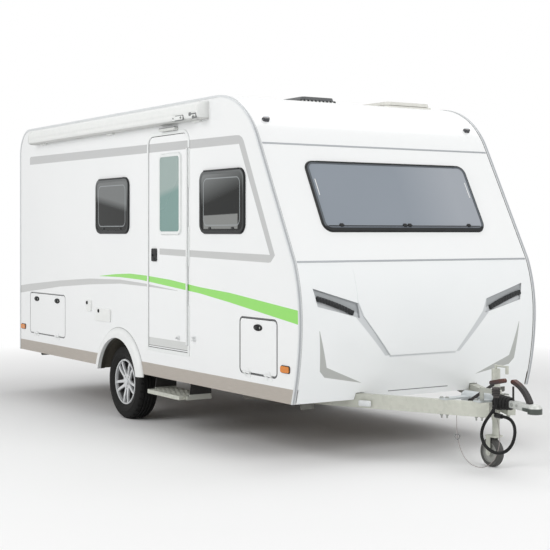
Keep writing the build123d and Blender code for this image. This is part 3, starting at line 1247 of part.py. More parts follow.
# Side services: refrigerator grilles on the left, filler and inlet flaps above the right arch
covers = []
slat = (GRILLE_SIZE[1] - 2 * GRILLE_BORDER) / (2 * GRILLE_SLATS - 1)
for rise in GRILLE_RISES:
    spot = (X_AXLE + GRILLE_AHEAD, BODY_BOTTOM + rise + GRILLE_SIZE[1] / 2)
    grille = slab(panel(spot, GRILLE_SIZE, 16), HALF, HALF + GRILLE_PROUD)
    for index in range(GRILLE_SLATS):
        z = spot[1] - GRILLE_SIZE[1] / 2 + GRILLE_BORDER + (2 * index + 0.5) * slat
        gap = Pos(spot[0], z) * SlotOverall(GRILLE_SIZE[0] - 2 * GRILLE_BORDER, slat)
        grille -= slab(gap, HALF + GRILLE_PROUD / 3, HALF + 2 * GRILLE_PROUD)
    covers.append(grille)
flap_table = [
    {"behind": 695.0, "length": 110.0, "rise": 103.0, "height": 96.0},
    {"behind": 492.0, "length": 312.0, "rise": 28.0, "height": 110.0},
]
flap_low = TYRE_RADIUS + FLARE_RADIUS + FLAP_GAP
for row in flap_table:
    spot = (X_AXLE - row["behind"] + row["length"] / 2, flap_low + row["rise"] + row["height"] / 2)
    covers.append(slab(panel(spot, (row["length"], row["height"]), 12), -HALF - FLAP_PROUD, -HALF))
save("service_covers", group(covers))

# Cabin furniture seen through the door and the windows
kitchen_x = (X_AXLE + KITCHEN_AHEAD, X_AXLE + KITCHEN_AHEAD + KITCHEN_LENGTH)
kitchen_y = INNER - KITCHEN_DEPTH
kitchen = block(kitchen_x, (kitchen_y, INNER), (FLOOR_TOP + PLINTH, FLOOR_TOP + KITCHEN_HEIGHT))
kitchen += block(kitchen_x, (kitchen_y + PLINTH_BACK, INNER), (FLOOR_TOP, FLOOR_TOP + PLINTH))
for part in (1 / 3, 2 / 3):
    x = kitchen_x[0] + part * KITCHEN_LENGTH
    groove = (kitchen_y, kitchen_y + FRONT_GROOVE)
    kitchen -= block((x, x + FRONT_GROOVE), groove, (FLOOR_TOP + PLINTH, FLOOR_TOP + KITCHEN_HEIGHT))
worktop_z = (FLOOR_TOP + KITCHEN_HEIGHT, FLOOR_TOP + KITCHEN_HEIGHT + WORKTOP)
kitchen += block(kitchen_x, (kitchen_y - WORKTOP_OVER, INNER), worktop_z)
wardrobe_x = (X_AXLE - WARDROBE_BEHIND - WARDROBE_LENGTH, X_AXLE - WARDROBE_BEHIND)
wardrobe_y = -INNER + WARDROBE_DEPTH
wardrobe = block(wardrobe_x, (-INNER, wardrobe_y), (FLOOR_TOP, FLOOR_TOP + WARDROBE_HEIGHT))
x = (wardrobe_x[0] + wardrobe_x[1]) / 2
wardrobe_z = (FLOOR_TOP, FLOOR_TOP + WARDROBE_HEIGHT)
wardrobe -= block((x, x + FRONT_GROOVE), (wardrobe_y - FRONT_GROOVE, wardrobe_y), wardrobe_z)
save("cabin_furniture", group([kitchen, wardrobe]))

# Cables at the drawbar: straight runs joined by tangent arcs
cable_table = [
    {"name": "tow_cable", "diameter": 22.0, "points": [
        (2880.0, -118.0, 520.0), (2880.0, -118.0, 466.0), (2852.0, -142.0, 408.0), (2806.0, -160.0, 340.0),
        (2784.0, -166.0, 264.0), (2814.0, -162.0, 196.0), (2888.0, -150.0, 156.0), (2972.0, -134.0, 164.0),
        (3030.0, -116.0, 220.0), (3042.0, -98.0, 296.0), (3006.0, -74.0, 356.0), (2936.0, -54.0, 388.0),
        (2868.0, -54.0, 388.0)]},
    {"name": "breakaway_wire", "diameter": 4.0, "points": [
        (2585.0, -206.0, 377.0), (2585.0, -206.0, 322.0), (2592.0, -210.0, 268.0), (2602.0, -210.0, 214.0),
        (2614.0, -204.0, 160.0), (2632.0, -192.0, 108.0), (2662.0, -172.0, 64.0), (2704.0, -144.0, 34.0),
        (2750.0, -112.0, 32.0), (2790.0, -80.0, 62.0), (2810.0, -54.0, 110.0), (2814.0, -34.0, 164.0),
        (2808.0, -18.0, 218.0), (2794.0, -8.0, 270.0), (2776.0, -2.0, 322.0), (2752.0, 0.0, 372.0),
        (2752.0, 0.0, 427.0)]},
]


def cable(points, diameter):
    """Round cord along straight runs with tangent arcs between them."""
    spots = [Vector(*p) for p in points]
    radii = []
    for before, here, after in zip(spots, spots[1:], spots[2:]):
        run_in = here - before
        run_out = after - here
        half_turn = radians(run_in.get_angle(run_out)) / 2
        radii.append(0.45 * min(run_in.length, run_out.length) / tan(half_turn))
    path = FilletPolyline(*points, radius=radii)
    start = Plane(origin=path @ 0, z_dir=path % 0)
    return sweep(start * Circle(diameter / 2), path=path)


for row in cable_table:
    save(row["name"], cable(row["points"], row["diameter"]))

# Tow plug parked in a holder that stands on the front flange plate
plug_x = bellows_end - 25
plug_y = -HOUSING_RADIUS - 73
plug_z = HITCH_Z + 48
plug = rod("z", (plug_x, plug_y, plug_z), 20, 14) + rod("z", (plug_x, plug_y, plug_z + 14), 27, 54)
plug += block((hanger_x - 43, hanger_x - 7), (plug_y - 3, plug_y + 3), (plate_top, plug_z + 54))
plug += block((hanger_x - 7, plug_x), (plug_y - 3, plug_y + 3), (plug_z + 22, plug_z + 54))
save("tow_plug", plug)
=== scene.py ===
import logging
import math
from dataclasses import dataclass, field
from enum import Enum
from typing import Dict, Optional, Sequence, Tuple, Union

import bmesh
import bpy
from mathutils import Matrix, Vector


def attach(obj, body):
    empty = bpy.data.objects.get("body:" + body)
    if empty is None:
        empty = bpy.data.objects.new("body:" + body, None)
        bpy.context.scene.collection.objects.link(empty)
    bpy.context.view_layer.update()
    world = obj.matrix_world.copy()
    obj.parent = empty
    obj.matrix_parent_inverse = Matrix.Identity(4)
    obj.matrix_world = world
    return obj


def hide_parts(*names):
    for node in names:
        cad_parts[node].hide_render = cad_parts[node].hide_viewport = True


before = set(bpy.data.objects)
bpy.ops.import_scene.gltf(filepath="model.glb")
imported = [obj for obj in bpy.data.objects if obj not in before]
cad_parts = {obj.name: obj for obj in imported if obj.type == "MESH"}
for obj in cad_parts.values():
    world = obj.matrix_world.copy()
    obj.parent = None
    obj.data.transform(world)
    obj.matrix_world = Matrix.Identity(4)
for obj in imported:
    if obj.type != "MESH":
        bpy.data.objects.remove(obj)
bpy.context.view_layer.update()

LOG = logging.getLogger("caravan")

Point = Tuple[float, float, float]
Pair = Tuple[float, float]
Rgb = Tuple[int, int, int]
Rgba = Tuple[float, float, float, float]
Number = Union["Field", float, int]
Paint = Union[bpy.types.NodeSocket, Rgba]
Line = Tuple[Pair, ...]

WHITE: Rgba = (1.0, 1.0, 1.0, 1.0)

# Places that several classes share, in metres
AXLE: Pair = (-0.813, 0.320)
WALL_FACE = 1.100
SIDE_WINDOWS: Point = (-0.0031, 0.9549, 1.852)
SIDE_WINDOW_HALF: Pair = (0.338, 0.245)
FRONT_FROM = 1.45
FRONT_OUT: Point = (0.8829, 0.0, 0.4695)
FRONT_WINDOW_Z = 1.8824
FRONT_WINDOW_HALF: Pair = (0.765, 0.2964)
WINDOW_CORNER = 0.075

# Directions out of the right wall, up and down
RIGHT: Point = (0.0, -1.0, 0.0)
UP: Point = (0.0, 0.0, 1.0)
DOWN: Point = (0.0, 0.0, -1.0)


class Body(Enum):
    """The bodies that carry new pieces."""

    CARAVAN = "caravan"
    WHEEL_RIGHT = "wheel_right"
    WHEEL_LEFT = "wheel_left"
    DOOR = "entry_door"
    LOCKER_FRONT = "locker_front"
    LOCKER_REAR = "locker_rear"


class Axis(Enum):
    """The axes of the shared frame."""

    X = 0
    Y = 1
    Z = 2


class Grain(Enum):
    """What the surface of a finish looks like up close."""

    GLOSS = "gloss"
    BRUSHED = "brushed"
    SPANGLE = "spangle"
    CAST = "cast"
    MOULDED = "moulded"
    CLOTH = "cloth"


def tint(color: Rgb) -> Rgba:
    """Turn a colour of 0 to 255 a channel into linear light.

    Args:
        color: Red, green and blue as they show on a screen.

    Returns:
        The linear colour with full alpha.
    """
    linear = []
    for channel in color:
        share = channel / 255.0
        linear.append(share / 12.92 if share <= 0.04045 else ((share + 0.055) / 1.055) ** 2.4)
    return (linear[0], linear[1], linear[2], 1.0)


class Field:
    """A number that changes over a surface; arithmetic on it adds Math nodes."""

    def __init__(self, graph: "Graph", socket: bpy.types.NodeSocket) -> None:
        """Wrap a socket of a graph."""
        self.graph = graph
        self.socket = socket

    def __add__(self, other: Number) -> "Field":
        """Sum."""
        return self.graph.math("ADD", self, other)

    def __radd__(self, other: Number) -> "Field":
        """Sum with a number on the left."""
        return self.graph.math("ADD", other, self)

    def __sub__(self, other: Number) -> "Field":
        """Difference."""
        return self.graph.math("SUBTRACT", self, other)

    def __rsub__(self, other: Number) -> "Field":
        """Difference with a number on the left."""
        return self.graph.math("SUBTRACT", other, self)

    def __mul__(self, other: Number) -> "Field":
        """Product."""
        return self.graph.math("MULTIPLY", self, other)

    def __rmul__(self, other: Number) -> "Field":
        """Product with a number on the left."""
        return self.graph.math("MULTIPLY", other, self)

    def __truediv__(self, other: Number) -> "Field":
        """Quotient."""
        return self.graph.math("DIVIDE", self, other)

    def __rtruediv__(self, other: Number) -> "Field":
        """Quotient with a number on the left."""
        return self.graph.math("DIVIDE", other, self)

    def __abs__(self) -> "Field":
        """Size without sign."""
        return self.graph.math("ABSOLUTE", self)

    def low(self, other: Number) -> "Field":
        """The smaller of two."""
        return self.graph.math("MINIMUM", self, other)

    def high(self, other: Number) -> "Field":
        """The larger of two."""
        return self.graph.math("MAXIMUM", self, other)

    def wave(self) -> "Field":
        """Sine."""
        return self.graph.math("SINE", self)

    def clip(self) -> "Field":
        """Held between 0 and 1."""
        return self.high(0.0).low(1.0)

    def over(self, edge: Number, soft: float = 0.002) -> "Field":
        """Mask of where the field is above an edge.

        Args:
            edge: The edge's value.
            soft: Width of the edge's fade.

        Returns:
            0 below the edge and 1 above it.
        """
        return ((self - edge) / soft + 0.5).clip()

    def within(self, low: Number, high: Number, soft: float = 0.002) -> "Field":
        """Mask of where the field lies between two edges.

        Args:
            low: The lower edge.
            high: The upper edge.
            soft: Width of each edge's fade.

        Returns:
            1 between the edges and 0 outside.
        """
        return self.over(low, soft) * ((high - self) / soft + 0.5).clip()

    def along(self, points: Line) -> "Field":
        """Height of a broken line over this field.

        Args:
            points: Corners of the line, in rising order of this field.

        Returns:
            The line's height, its end runs carried on.
        """
        slopes = [(b[1] - a[1]) / (b[0] - a[0]) for a, b in zip(points, points[1:])]
        height = (self - points[0][0]) * slopes[0] + points[0][1]
        for index in range(1, len(slopes)):
            turn = slopes[index] - slopes[index - 1]
            height = height + (self - points[index][0]).high(0.0) * turn
        return height


class Graph:
    """The node tree of a material or of the surroundings."""

    def __init__(self, owner: Union[bpy.types.Material, bpy.types.World]) -> None:
        """Start an empty tree in its owner."""
        owner.use_nodes = True
        self.owner = owner
        self.tree = owner.node_tree
        self.tree.nodes.clear()

    def node(
        self,
        kind: str,
        settings: Optional[Dict[str, object]] = None,
        sockets: Optional[Dict[Union[str, int], object]] = None,
    ) -> bpy.types.Node:
        """Add a node.

        Args:
            kind: The node's type.
            settings: Its properties, set first.
            sockets: Values or links of its inputs by name or number.

        Returns:
            The new node.
        """
        made = self.tree.nodes.new(kind)
        for key, value in (settings or {}).items():
            setattr(made, key, value)
        for key, value in (sockets or {}).items():
            if isinstance(value, Field):
                self.tree.links.new(value.socket, made.inputs[key])
            elif isinstance(value, bpy.types.NodeSocket):
                self.tree.links.new(value, made.inputs[key])
            else:
                made.inputs[key].default_value = value
        return made

    def math(self, operation: str, *terms: Number) -> Field:
        """Add a Math node.

        Args:
            operation: The node's operation.
            terms: Its one or two terms.

        Returns:
            The result.
        """
        sockets = {index: term for index, term in enumerate(terms)}
        made = self.node("ShaderNodeMath", {"operation": operation}, sockets)
        return Field(self, made.outputs[0])

    def place(self) -> Tuple[Field, Field, Field]:
        """Object coordinates, in metres, as three fields."""
        spot = self.node("ShaderNodeTexCoord").outputs["Object"]
        split = self.node("ShaderNodeSeparateXYZ", None, {0: spot})
        return tuple(Field(self, output) for output in split.outputs)

    def distance(self, first: Field, second: Field) -> Field:
        """Length of a flat vector.

        Args:
            first: Its run along one axis.
            second: Its run along the other axis.

        Returns:
            The length.
        """
        return self.math("SQRT", first * first + second * second)

    def outside(self, first: Field, second: Field, half: Pair, corner: float) -> Field:
        """Distance from the edge of a rounded rectangle about the origin.

        Args:
            first: Place along its first side.
            second: Place along its second side.
            half: Half its size along both.
            corner: Radius of its corners.

        Returns:
            The distance, below 0 inside.
        """
        run = abs(first) - (half[0] - corner)
        rise = abs(second) - (half[1] - corner)
        return self.distance(run.high(0.0), rise.high(0.0)) + run.high(rise).low(0.0) - corner

    def spot(self, stretch: Point = (1.0, 1.0, 1.0)) -> bpy.types.NodeSocket:
        """Object coordinates stretched along each axis.

        Args:
            stretch: Scale of the pattern along X, Y and Z.

        Returns:
            The vector socket.
        """
        spot = self.node("ShaderNodeTexCoord").outputs["Object"]
        made = self.node("ShaderNodeMapping", None, {"Vector": spot, "Scale": stretch})
        return made.outputs[0]

    def noise(self, scale: float, detail: float = 3.0, stretch: Point = (1.0, 1.0, 1.0)) -> Field:
        """Cloudy noise.

        Args:
            scale: Clouds in a metre.
            detail: Octaves of finer clouds.
            stretch: Scale of the clouds along X, Y and Z.

        Returns:
            The noise, around 0.5.
        """
        sockets = {"Vector": self.spot(stretch), "Scale": scale, "Detail": detail}
        return Field(self, self.node("ShaderNodeTexNoise", None, sockets).outputs[0])

    def cells(self, scale: float) -> Field:
        """Cell pattern, by the distance from each cell's middle.

        Args:
            scale: Cells in a metre.

        Returns:
            The distance.
        """
        sockets = {"Vector": self.spot(), "Scale": scale}
        return Field(self, self.node("ShaderNodeTexVoronoi", None, sockets).outputs[0])

    def cell_shade(self, scale: float) -> Field:
        """One random number for each cell of a cell pattern.

        Args:
            scale: Cells in a metre.

        Returns:
            The number, from 0 to 1.
        """
        sockets = {"Vector": self.spot(), "Scale": scale}
        made = self.node("ShaderNodeTexVoronoi", None, sockets)
        split = self.node("ShaderNodeSeparateColor", None, {0: made.outputs["Color"]})
        return Field(self, split.outputs[0])

    def mix(self, share: Number, first: Paint, second: Paint) -> bpy.types.NodeSocket:
        """Mix two colours.

        Args:
            share: Share of the second colour.
            first: Colour where the share is 0.
            second: Colour where the share is 1.

        Returns:
            The mixed colour.
        """
        made = self.node("ShaderNodeMix", {"data_type": "RGBA"}, {0: share, 6: first, 7: second})
        return made.outputs[2]

    def bump(self, height: Field, depth: float) -> bpy.types.NodeSocket:
        """Relief from a height field.

        Args:
            height: The height, from 0 to 1.
            depth: Depth in metres of a height of 1.

        Returns:
            The normal socket.
        """
        made = self.node("ShaderNodeBump", None, {"Strength": 1.0, "Distance": depth, "Height": height})
        return made.outputs[0]

    def seen(self) -> Field:
        """Mask of rays from the camera, from gloss and through glass."""
        path = self.node("ShaderNodeLightPath")
        camera, glossy, clear = (
            Field(self, path.outputs["Is %s Ray" % kind]) for kind in ("Camera", "Glossy", "Transmission")
        )
        return camera.high(glossy).high(clear)

    def surface(self, sockets: Dict[str, object]) -> bpy.types.Material:
        """Close the tree with a Principled shader.

        Args:
            sockets: Values or links of the shader's inputs.

        Returns:
            The finished material.
        """
        shader = self.node("ShaderNodeBsdfPrincipled", None, sockets)
        self.node("ShaderNodeOutputMaterial", None, {"Surface": shader.outputs[0]})
        return self.owner


@dataclass(frozen=True)
class Finish:
    """A surface with a colour that varies a little, a roughness range and a grain."""

    name: str
    color: Rgb
    shade: Rgb
    roughness: Pair
    grain: Grain
    slot: str
    metallic: float = 0.0
    coat: float = 0.0
    scale: float = 60.0
    relief: float = 0.0002
    shine: float = 0.5
    coat_roughness: float = 0.06

    def pattern(self, graph: Graph) -> Tuple[Field, Field]:
        """The grain's colour share and its height.

        Args:
            graph: The material's graph.

        Returns:
            Share of the second colour, and relief height.
        """
        if self.grain is Grain.BRUSHED:
            lines = graph.noise(self.scale, detail=4.0, stretch=(0.06, 1.0, 1.0))
            return lines, lines
        if self.grain is Grain.SPANGLE:
            flakes = graph.cell_shade(self.scale)
            stain = graph.noise(self.scale * 0.12, detail=4.0)
            return (flakes * 0.3 + stain * 0.8 - 0.1).clip(), flakes * 0.5 + stain * 0.5
        if self.grain is Grain.CAST:
            grit = graph.noise(self.scale, detail=6.0)
            return grit, grit
        if self.grain is Grain.MOULDED:
            leather = graph.cells(self.scale * 6.0)
            cloud = graph.noise(self.scale * 0.2)
            return (cloud * 1.3 - 0.15).clip(), leather
        if self.grain is Grain.CLOTH:
            weave = graph.noise(self.scale, detail=5.0, stretch=(1.0, 1.0, 3.0))
            return weave, weave
        cloud = graph.noise(scale=1.6, detail=1.0)
        ripple = graph.noise(self.scale, detail=2.0)
        return cloud, ripple

    def base(self, graph: Graph, share: Field) -> bpy.types.NodeSocket:
        """The colour over the surface.

        Args:
            graph: The material's graph.
            share: Share of the second colour.

        Returns:
            The colour socket.
        """
        return graph.mix(share, tint(self.color), tint(self.shade))

    def sockets(self, graph: Graph) -> Dict[str, object]:
        """Values and links of the shader's inputs.

        Args:
            graph: The material's graph.

        Returns:
            The inputs by name.
        """
        share, height = self.pattern(graph)
        low, high = self.roughness
        return {
            "Base Color": self.base(graph, share),
            "Roughness": share * (high - low) + low,
            "Metallic": self.metallic,
            "Specular IOR Level": self.shine,
            "Coat Weight": self.coat,
            "Coat Roughness": self.coat_roughness,
            "Normal": graph.bump(height, self.relief),
        }

    def make(self) -> bpy.types.Material:
        """Build the material, once for each finish.

        Returns:
            The material.
        """
        if self.name in bpy.data.materials:
            return bpy.data.materials[self.name]
        graph = Graph(bpy.data.materials.new(self.name))
        return graph.surface(self.sockets(graph))


@dataclass(frozen=True)
class SplitFinish(Finish):
    """A finish with another colour below or behind a level."""

    axis: Axis = Axis.Z
    level: float = 0.0
    soft: float = 0.002
    under: Rgb = (128, 128, 128)

    def base(self, graph: Graph, share: Field) -> bpy.types.NodeSocket:
        """The finish's colour, and the other one under its level.

        Args:
            graph: The material's graph.
            share: Share of the second colour.

        Returns:
            The colour socket.
        """
        above = graph.place()[self.axis.value].over(self.level, self.soft)
        return graph.mix(above, tint(self.under), super().base(graph, share))


@dataclass(frozen=True)
class Stripe:
    """A film stripe on the side wall, between two lines over the length."""

    color: Rgb
    top: Line
    bottom: Line
    span: Pair

    def mask(self, along: Field, height: Field) -> Field:
        """Where the stripe lies.

        Args:
            along: Place along the wall.
            height: Height on the wall.

        Returns:
            1 on the stripe and 0 beside it.
        """
        band = height.within(along.along(self.bottom), along.along(self.top))
        return band * along.within(*self.span)


@dataclass(frozen=True)
class StripedWall(Finish):
    """Gloss wall panel with film stripes, the bead of the arch, painted shade round the locker doors and
    dark cut edges.
    """

    stripes: Tuple[Stripe, ...] = (
        Stripe(
            (190, 191, 191),
            ((-2.885, 2.370), (-2.86, 2.380), (1.15, 2.3385), (1.20, 2.334), (1.237, 2.318),
             (1.262, 2.290)),
            ((-2.85, 2.301), (1.20, 2.272)),
            (-2.885, 1.220),
        ),
        Stripe(
            (192, 193, 192),
            ((-0.06, 1.489), (1.55, 1.462), (1.66, 1.460)),
            ((-0.06, 1.439), (1.60, 1.405), (1.630, 1.409), (1.660, 1.436)),
            (-0.067, 1.668),
        ),
        Stripe(
            (194, 195, 194),
            ((-3.14, 1.080), (-2.885, 1.104), (-2.123, 1.161), (-1.435, 1.201), (-0.809, 1.211),
             (-0.312, 1.192), (0.25, 1.155)),
            ((-3.14, 1.005), (-2.885, 1.030), (-2.123, 1.103), (-1.435, 1.148), (-0.809, 1.176),
             (-0.312, 1.169), (0.25, 1.152)),
            (-3.14, 0.25),
        ),
        Stripe(
            (142, 219, 94),
            ((-1.229, 1.231), (-0.90, 1.256), (-0.613, 1.268), (-0.31, 1.260), (0.115, 1.238),
             (0.61, 1.196), (1.065, 1.170), (1.878, 1.094)),
            ((-1.229, 1.229), (-0.809, 1.232), (-0.423, 1.222), (-0.059, 1.196), (0.61, 1.147),
             (1.065, 1.098), (1.878, 1.000)),
            (-1.229, 1.990),
        ),
    )
    face: float = 1.0966
    lean_rear: Line = ((1.584, 1.554), (2.108, 1.280))
    lean_ahead: Line = ((1.584, 1.620), (2.254, 1.280))
    cut: Pair = (1.0752, 1.0966)
    cut_color: Rgb = (62, 63, 63)
    bead: Pair = (0.471, 0.477)
    bead_from: float = 0.41
    bead_color: Rgb = (158, 160, 159)
    # Painted shade round the locker doors: middle and band width, half size and colour of each.
    lockers: Tuple[Tuple[Point, Pair, Rgb], ...] = (
        ((1.461, 0.799, 0.010), (0.249, 0.199), (74, 76, 77)),
        ((-2.437, 0.820, 0.007), (0.436, 0.200), (136, 138, 138)),
    )
    locker_corner: float = 0.035

    def base(self, graph: Graph, share: Field) -> bpy.types.NodeSocket:
        """The panel's colour with its stripes laid over it.

        Args:
            graph: The material's graph.
            share: Share of the second colour.

        Returns:
            The colour socket.
        """
        along, across, height = graph.place()
        color = super().base(graph, share)
        outer = abs(across).over(self.face)
        for stripe in self.stripes:
            color = graph.mix(stripe.mask(along, height) * outer, color, tint(stripe.color))
        lean = along.within(height.along(self.lean_rear), height.along(self.lean_ahead))
        lean = lean * height.within(along.along(self.stripes[1].bottom), along.along(self.stripes[0].top))
        color = graph.mix(lean * outer, color, tint(self.stripes[0].color))
        away = graph.distance(along - AXLE[0], height - AXLE[1])
        bead = away.within(*self.bead) * height.over(self.bead_from)
        color = graph.mix(bead * outer, color, tint(self.bead_color))
        right = (1.0 - across.over(0.0)) * outer
        # Dark band of painted shade round each locker door on the right wall.
        for (x, z, wide), half, locker_gap_shade in self.lockers:
            away = graph.outside(along - x, height - z, half, self.locker_corner)
            color = graph.mix(away.within(0.0, wide) * right, color, tint(locker_gap_shade))
        return graph.mix(abs(across).within(*self.cut), color, tint(self.cut_color))


@dataclass(frozen=True)
class ArchMoulding(Finish):
    """Flared arch, dark where it turns in over the tyre."""

    inside: float = 0.4045
    lip: float = 1.106
    # Colour where the moulding turns in over the tyre.
    lining: Rgb = (66, 63, 56)

    def base(self, graph: Graph, share: Field) -> bpy.types.NodeSocket:
        """The moulding's colour, dark where it turns in over the tyre.

        Args:
            graph: The material's graph.
            share: Share of the second colour.

        Returns:
            The colour socket.
        """
        along, across, height = graph.place()
        away = graph.distance(along - AXLE[0], height - AXLE[1])
        inner = (1.0 - away.over(self.inside)) * (1.0 - abs(across).over(self.lip))
        return graph.mix(inner, super().base(graph, share), tint(self.lining))


@dataclass(frozen=True)
class CornerTrim(Finish):
    """White corner profile with a grey insert along its edge."""

    insert: Pair = (1.0860, 1.1025)
    insert_color: Rgb = (172, 175, 178)
    rear_lip: float = -3.158

    def base(self, graph: Graph, share: Field) -> bpy.types.NodeSocket:
        """The profile's colour with its insert.

        Args:
            graph: The material's graph.
            share: Share of the second colour.

        Returns:
            The colour socket.
        """
        along, across, _ = graph.place()
        line = abs(across).within(*self.insert).high(1.0 - along.over(self.rear_lip))
        return graph.mix(line, super().base(graph, share), tint(self.insert_color))


@dataclass(frozen=True)
class AlloyRim(Finish):
    """Bright spoke faces over hollows painted dark as shade."""

    spoke_face: Line = ((0.0, 1.0325), (0.066, 1.0325), (0.136, 1.0438), (0.190, 1.0440))
    fade: Pair = (0.008, 0.014)
    barrel: Pair = (0.181, 0.004)
    # Painted shade in the hollows between the spokes.
    pocket_shade: Rgb = (44, 44, 44)

    def base(self, graph: Graph, share: Field) -> bpy.types.NodeSocket:
        """The rim's colour, with painted shade deepening between its spokes.

        Args:
            graph: The material's graph.
            share: Share of the second colour.

        Returns:
            The colour socket.
        """
        along, across, height = graph.place()
        away = graph.distance(along - AXLE[0], height - AXLE[1])
        # Painted shade: darker the deeper the surface lies behind the spoke faces, within the barrel.
        deep = away.along(self.spoke_face) - abs(across) - self.fade[0]
        dark = (deep / self.fade[1]).clip() * (1.0 - away.over(*self.barrel))
        return graph.mix(dark, super().base(graph, share), tint(self.pocket_shade))


@dataclass(frozen=True)
class NosePanel(Finish):
    """Lower front moulding with grey lamp recesses, two corner films and painted shade on the nose's fold.
    """

    film: Rgb = (178, 180, 177)
    arm_span: Pair = (0.615, 0.938)
    arm_inner: Line = ((0.612, 0.835), (0.677, 0.853), (0.938, 0.930))
    arm_outer: Line = ((0.612, 0.905), (0.938, 0.934))
    foot_span: Pair = (0.536, 0.90)
    foot_low: Line = ((0.536, 0.552), (0.905, 0.617))
    foot_high: Line = ((0.536, 0.553), (0.848, 0.677))
    film_corner: Pair = (0.905, 0.617)
    film_cut: float = -0.034
    # Painted shade on the sloped side of the nose's fold: colour, height span, edge, width, overlap and
    # softness.
    fold: Rgb = (204, 207, 209)
    fold_span: Pair = (0.738, 1.122)
    fold_edge: Line = ((0.738, 0.308), (1.03, 0.560), (1.122, 0.600))
    fold_wide: Line = ((0.738, 0.040), (0.85, 0.050), (1.03, 0.070), (1.122, 0.030))
    fold_lap: float = 0.004
    fold_soft: Pair = (0.010, 0.008)
    recess: Rgb = (198, 201, 203)
    # Upper band of the recesses, painted darker as shade under their top edge.
    recess_top_shade: Rgb = (162, 166, 168)
    recess_low: Line = ((0.587, 1.017), (0.946, 1.106))
    recess_high: Line = ((0.603, 1.122), (0.976, 1.232))
    recess_inner: Line = ((1.017, 0.587), (1.122, 0.603))
    recess_outer: Line = ((1.106, 0.946), (1.232, 0.976))
    recess_split: Line = ((0.595, 1.050), (0.995, 1.192))
    recess_soft: float = 0.012
    # Painted shadow line along the bottom of the nose's V.
    crease_shadow: Rgb = (214, 217, 219)
    crease_span: Tuple[float, float, float] = (0.726, 0.740, 0.010)
    crease_half: float = 0.310
    # Dark line of painted shade low across the middle of the moulding.
    nose_gap_shade: Rgb = (96, 98, 98)
    gap_span: Pair = (0.472, 0.478)
    gap_half: float = 0.280

    def corner_film(self, side: Field, height: Field) -> Field:
        """Mask of the bent films at the lower corners.

        Args:
            side: Distance from the middle plane.
            height: Height on the moulding.

        Returns:
            1 on the films and 0 beside them.
        """
        arm = side.within(height.along(self.arm_inner), height.along(self.arm_outer))
        arm = arm * height.within(*self.arm_span)
        foot = height.within(side.along(self.foot_low), side.along(self.foot_high))
        foot = foot * side.within(*self.foot_span)
        corner = (side - self.film_corner[0]) - (height - self.film_corner[1])
        return arm.high(foot) * (1.0 - corner.over(self.film_cut))

    def nose_fold_shade(self, side: Field, height: Field) -> Field:
        """Mask of the painted shade on the fold that runs from the nose up to the lamps.

        Args:
            side: Distance from the middle plane.
            height: Height on the moulding.

        Returns:
            1 on the fold and 0 beside it.
        """
        across_soft, up_soft = self.fold_soft
        edge = height.along(self.fold_edge)
        band = side.within(edge - self.fold_lap, edge + height.along(self.fold_wide), across_soft)
        return band * height.within(*self.fold_span, up_soft)

    def lamp_recess(self, side: Field, height: Field) -> Field:
        """Mask of the recesses round the lamps.

        Args:
            side: Distance from the middle plane.
            height: Height on the moulding.

        Returns:
            1 in the recesses and 0 beside them.
        """
        upright = height.within(side.along(self.recess_low), side.along(self.recess_high))
        return upright * side.within(height.along(self.recess_inner), height.along(self.recess_outer))

    def base(self, graph: Graph, share: Field) -> bpy.types.NodeSocket:
        """The moulding's colour with its films, painted shade and a painted shadow line.

        Args:
            graph: The material's graph.
            share: Share of the second colour.

        Returns:
            The colour socket.
        """
        _, across, height = graph.place()
        side = abs(across)
        color = super().base(graph, share)
        color = graph.mix(self.corner_film(side, height), color, tint(self.film))
        # Painted shade on the nose's fold.
        color = graph.mix(self.nose_fold_shade(side, height), color, tint(self.fold))
        # The recesses' upper band is painted darker as shade.
        above = height.over(side.along(self.recess_split), self.recess_soft)
        recess = graph.mix(above, tint(self.recess), tint(self.recess_top_shade))
        color = graph.mix(self.lamp_recess(side, height), color, recess)
        # Painted shadow line along the bottom of the nose's V.
        crease_shadow = height.within(*self.crease_span) * (1.0 - side.over(self.crease_half))
        color = graph.mix(crease_shadow, color, tint(self.crease_shadow))
        # Dark line of painted shade low across the middle of the moulding.
        nose_gap_shade = height.within(*self.gap_span) * (1.0 - side.over(self.gap_half))
        return graph.mix(nose_gap_shade, color, tint(self.nose_gap_shade))


@dataclass(frozen=True)
class DoorSkin(StripedWall):
    """Door panel with the wall's stripes and a grey kick strip over a thin line of painted shade."""

    kick: Pair = (0.690, 0.752)
    kick_color: Rgb = (205, 207, 205)
    # Thin line of painted shade along the door's bottom edge: its height span, then its colour.
    line: Pair = (0.684, 0.690)
    bottom_shade_color: Rgb = (120, 122, 122)

    def base(self, graph: Graph, share: Field) -> bpy.types.NodeSocket:
        """The door's colour with its kick strip and the painted shade under it.

        Args:
            graph: The material's graph.
            share: Share of the second colour.

        Returns:
            The colour socket.
        """
        color = super().base(graph, share)
        _, across, height = graph.place()
        outer = abs(across).over(self.face)
        color = graph.mix(height.within(*self.kick) * outer, color, tint(self.kick_color))
        # Painted shade along the door's bottom edge.
        return graph.mix(height.within(*self.line) * outer, color, tint(self.bottom_shade_color))


@dataclass(frozen=True)
class Pane(Finish):
    """Tinted acrylic pane that lets part of the light through."""

    alpha: float = 0.8

    def cover(self, graph: Graph) -> Number:
        """How much of the light the pane stops."""
        return self.alpha

    def sockets(self, graph: Graph) -> Dict[str, object]:
        """The shader's inputs with the pane's alpha."""
        return {**super().sockets(graph), "Alpha": self.cover(graph)}


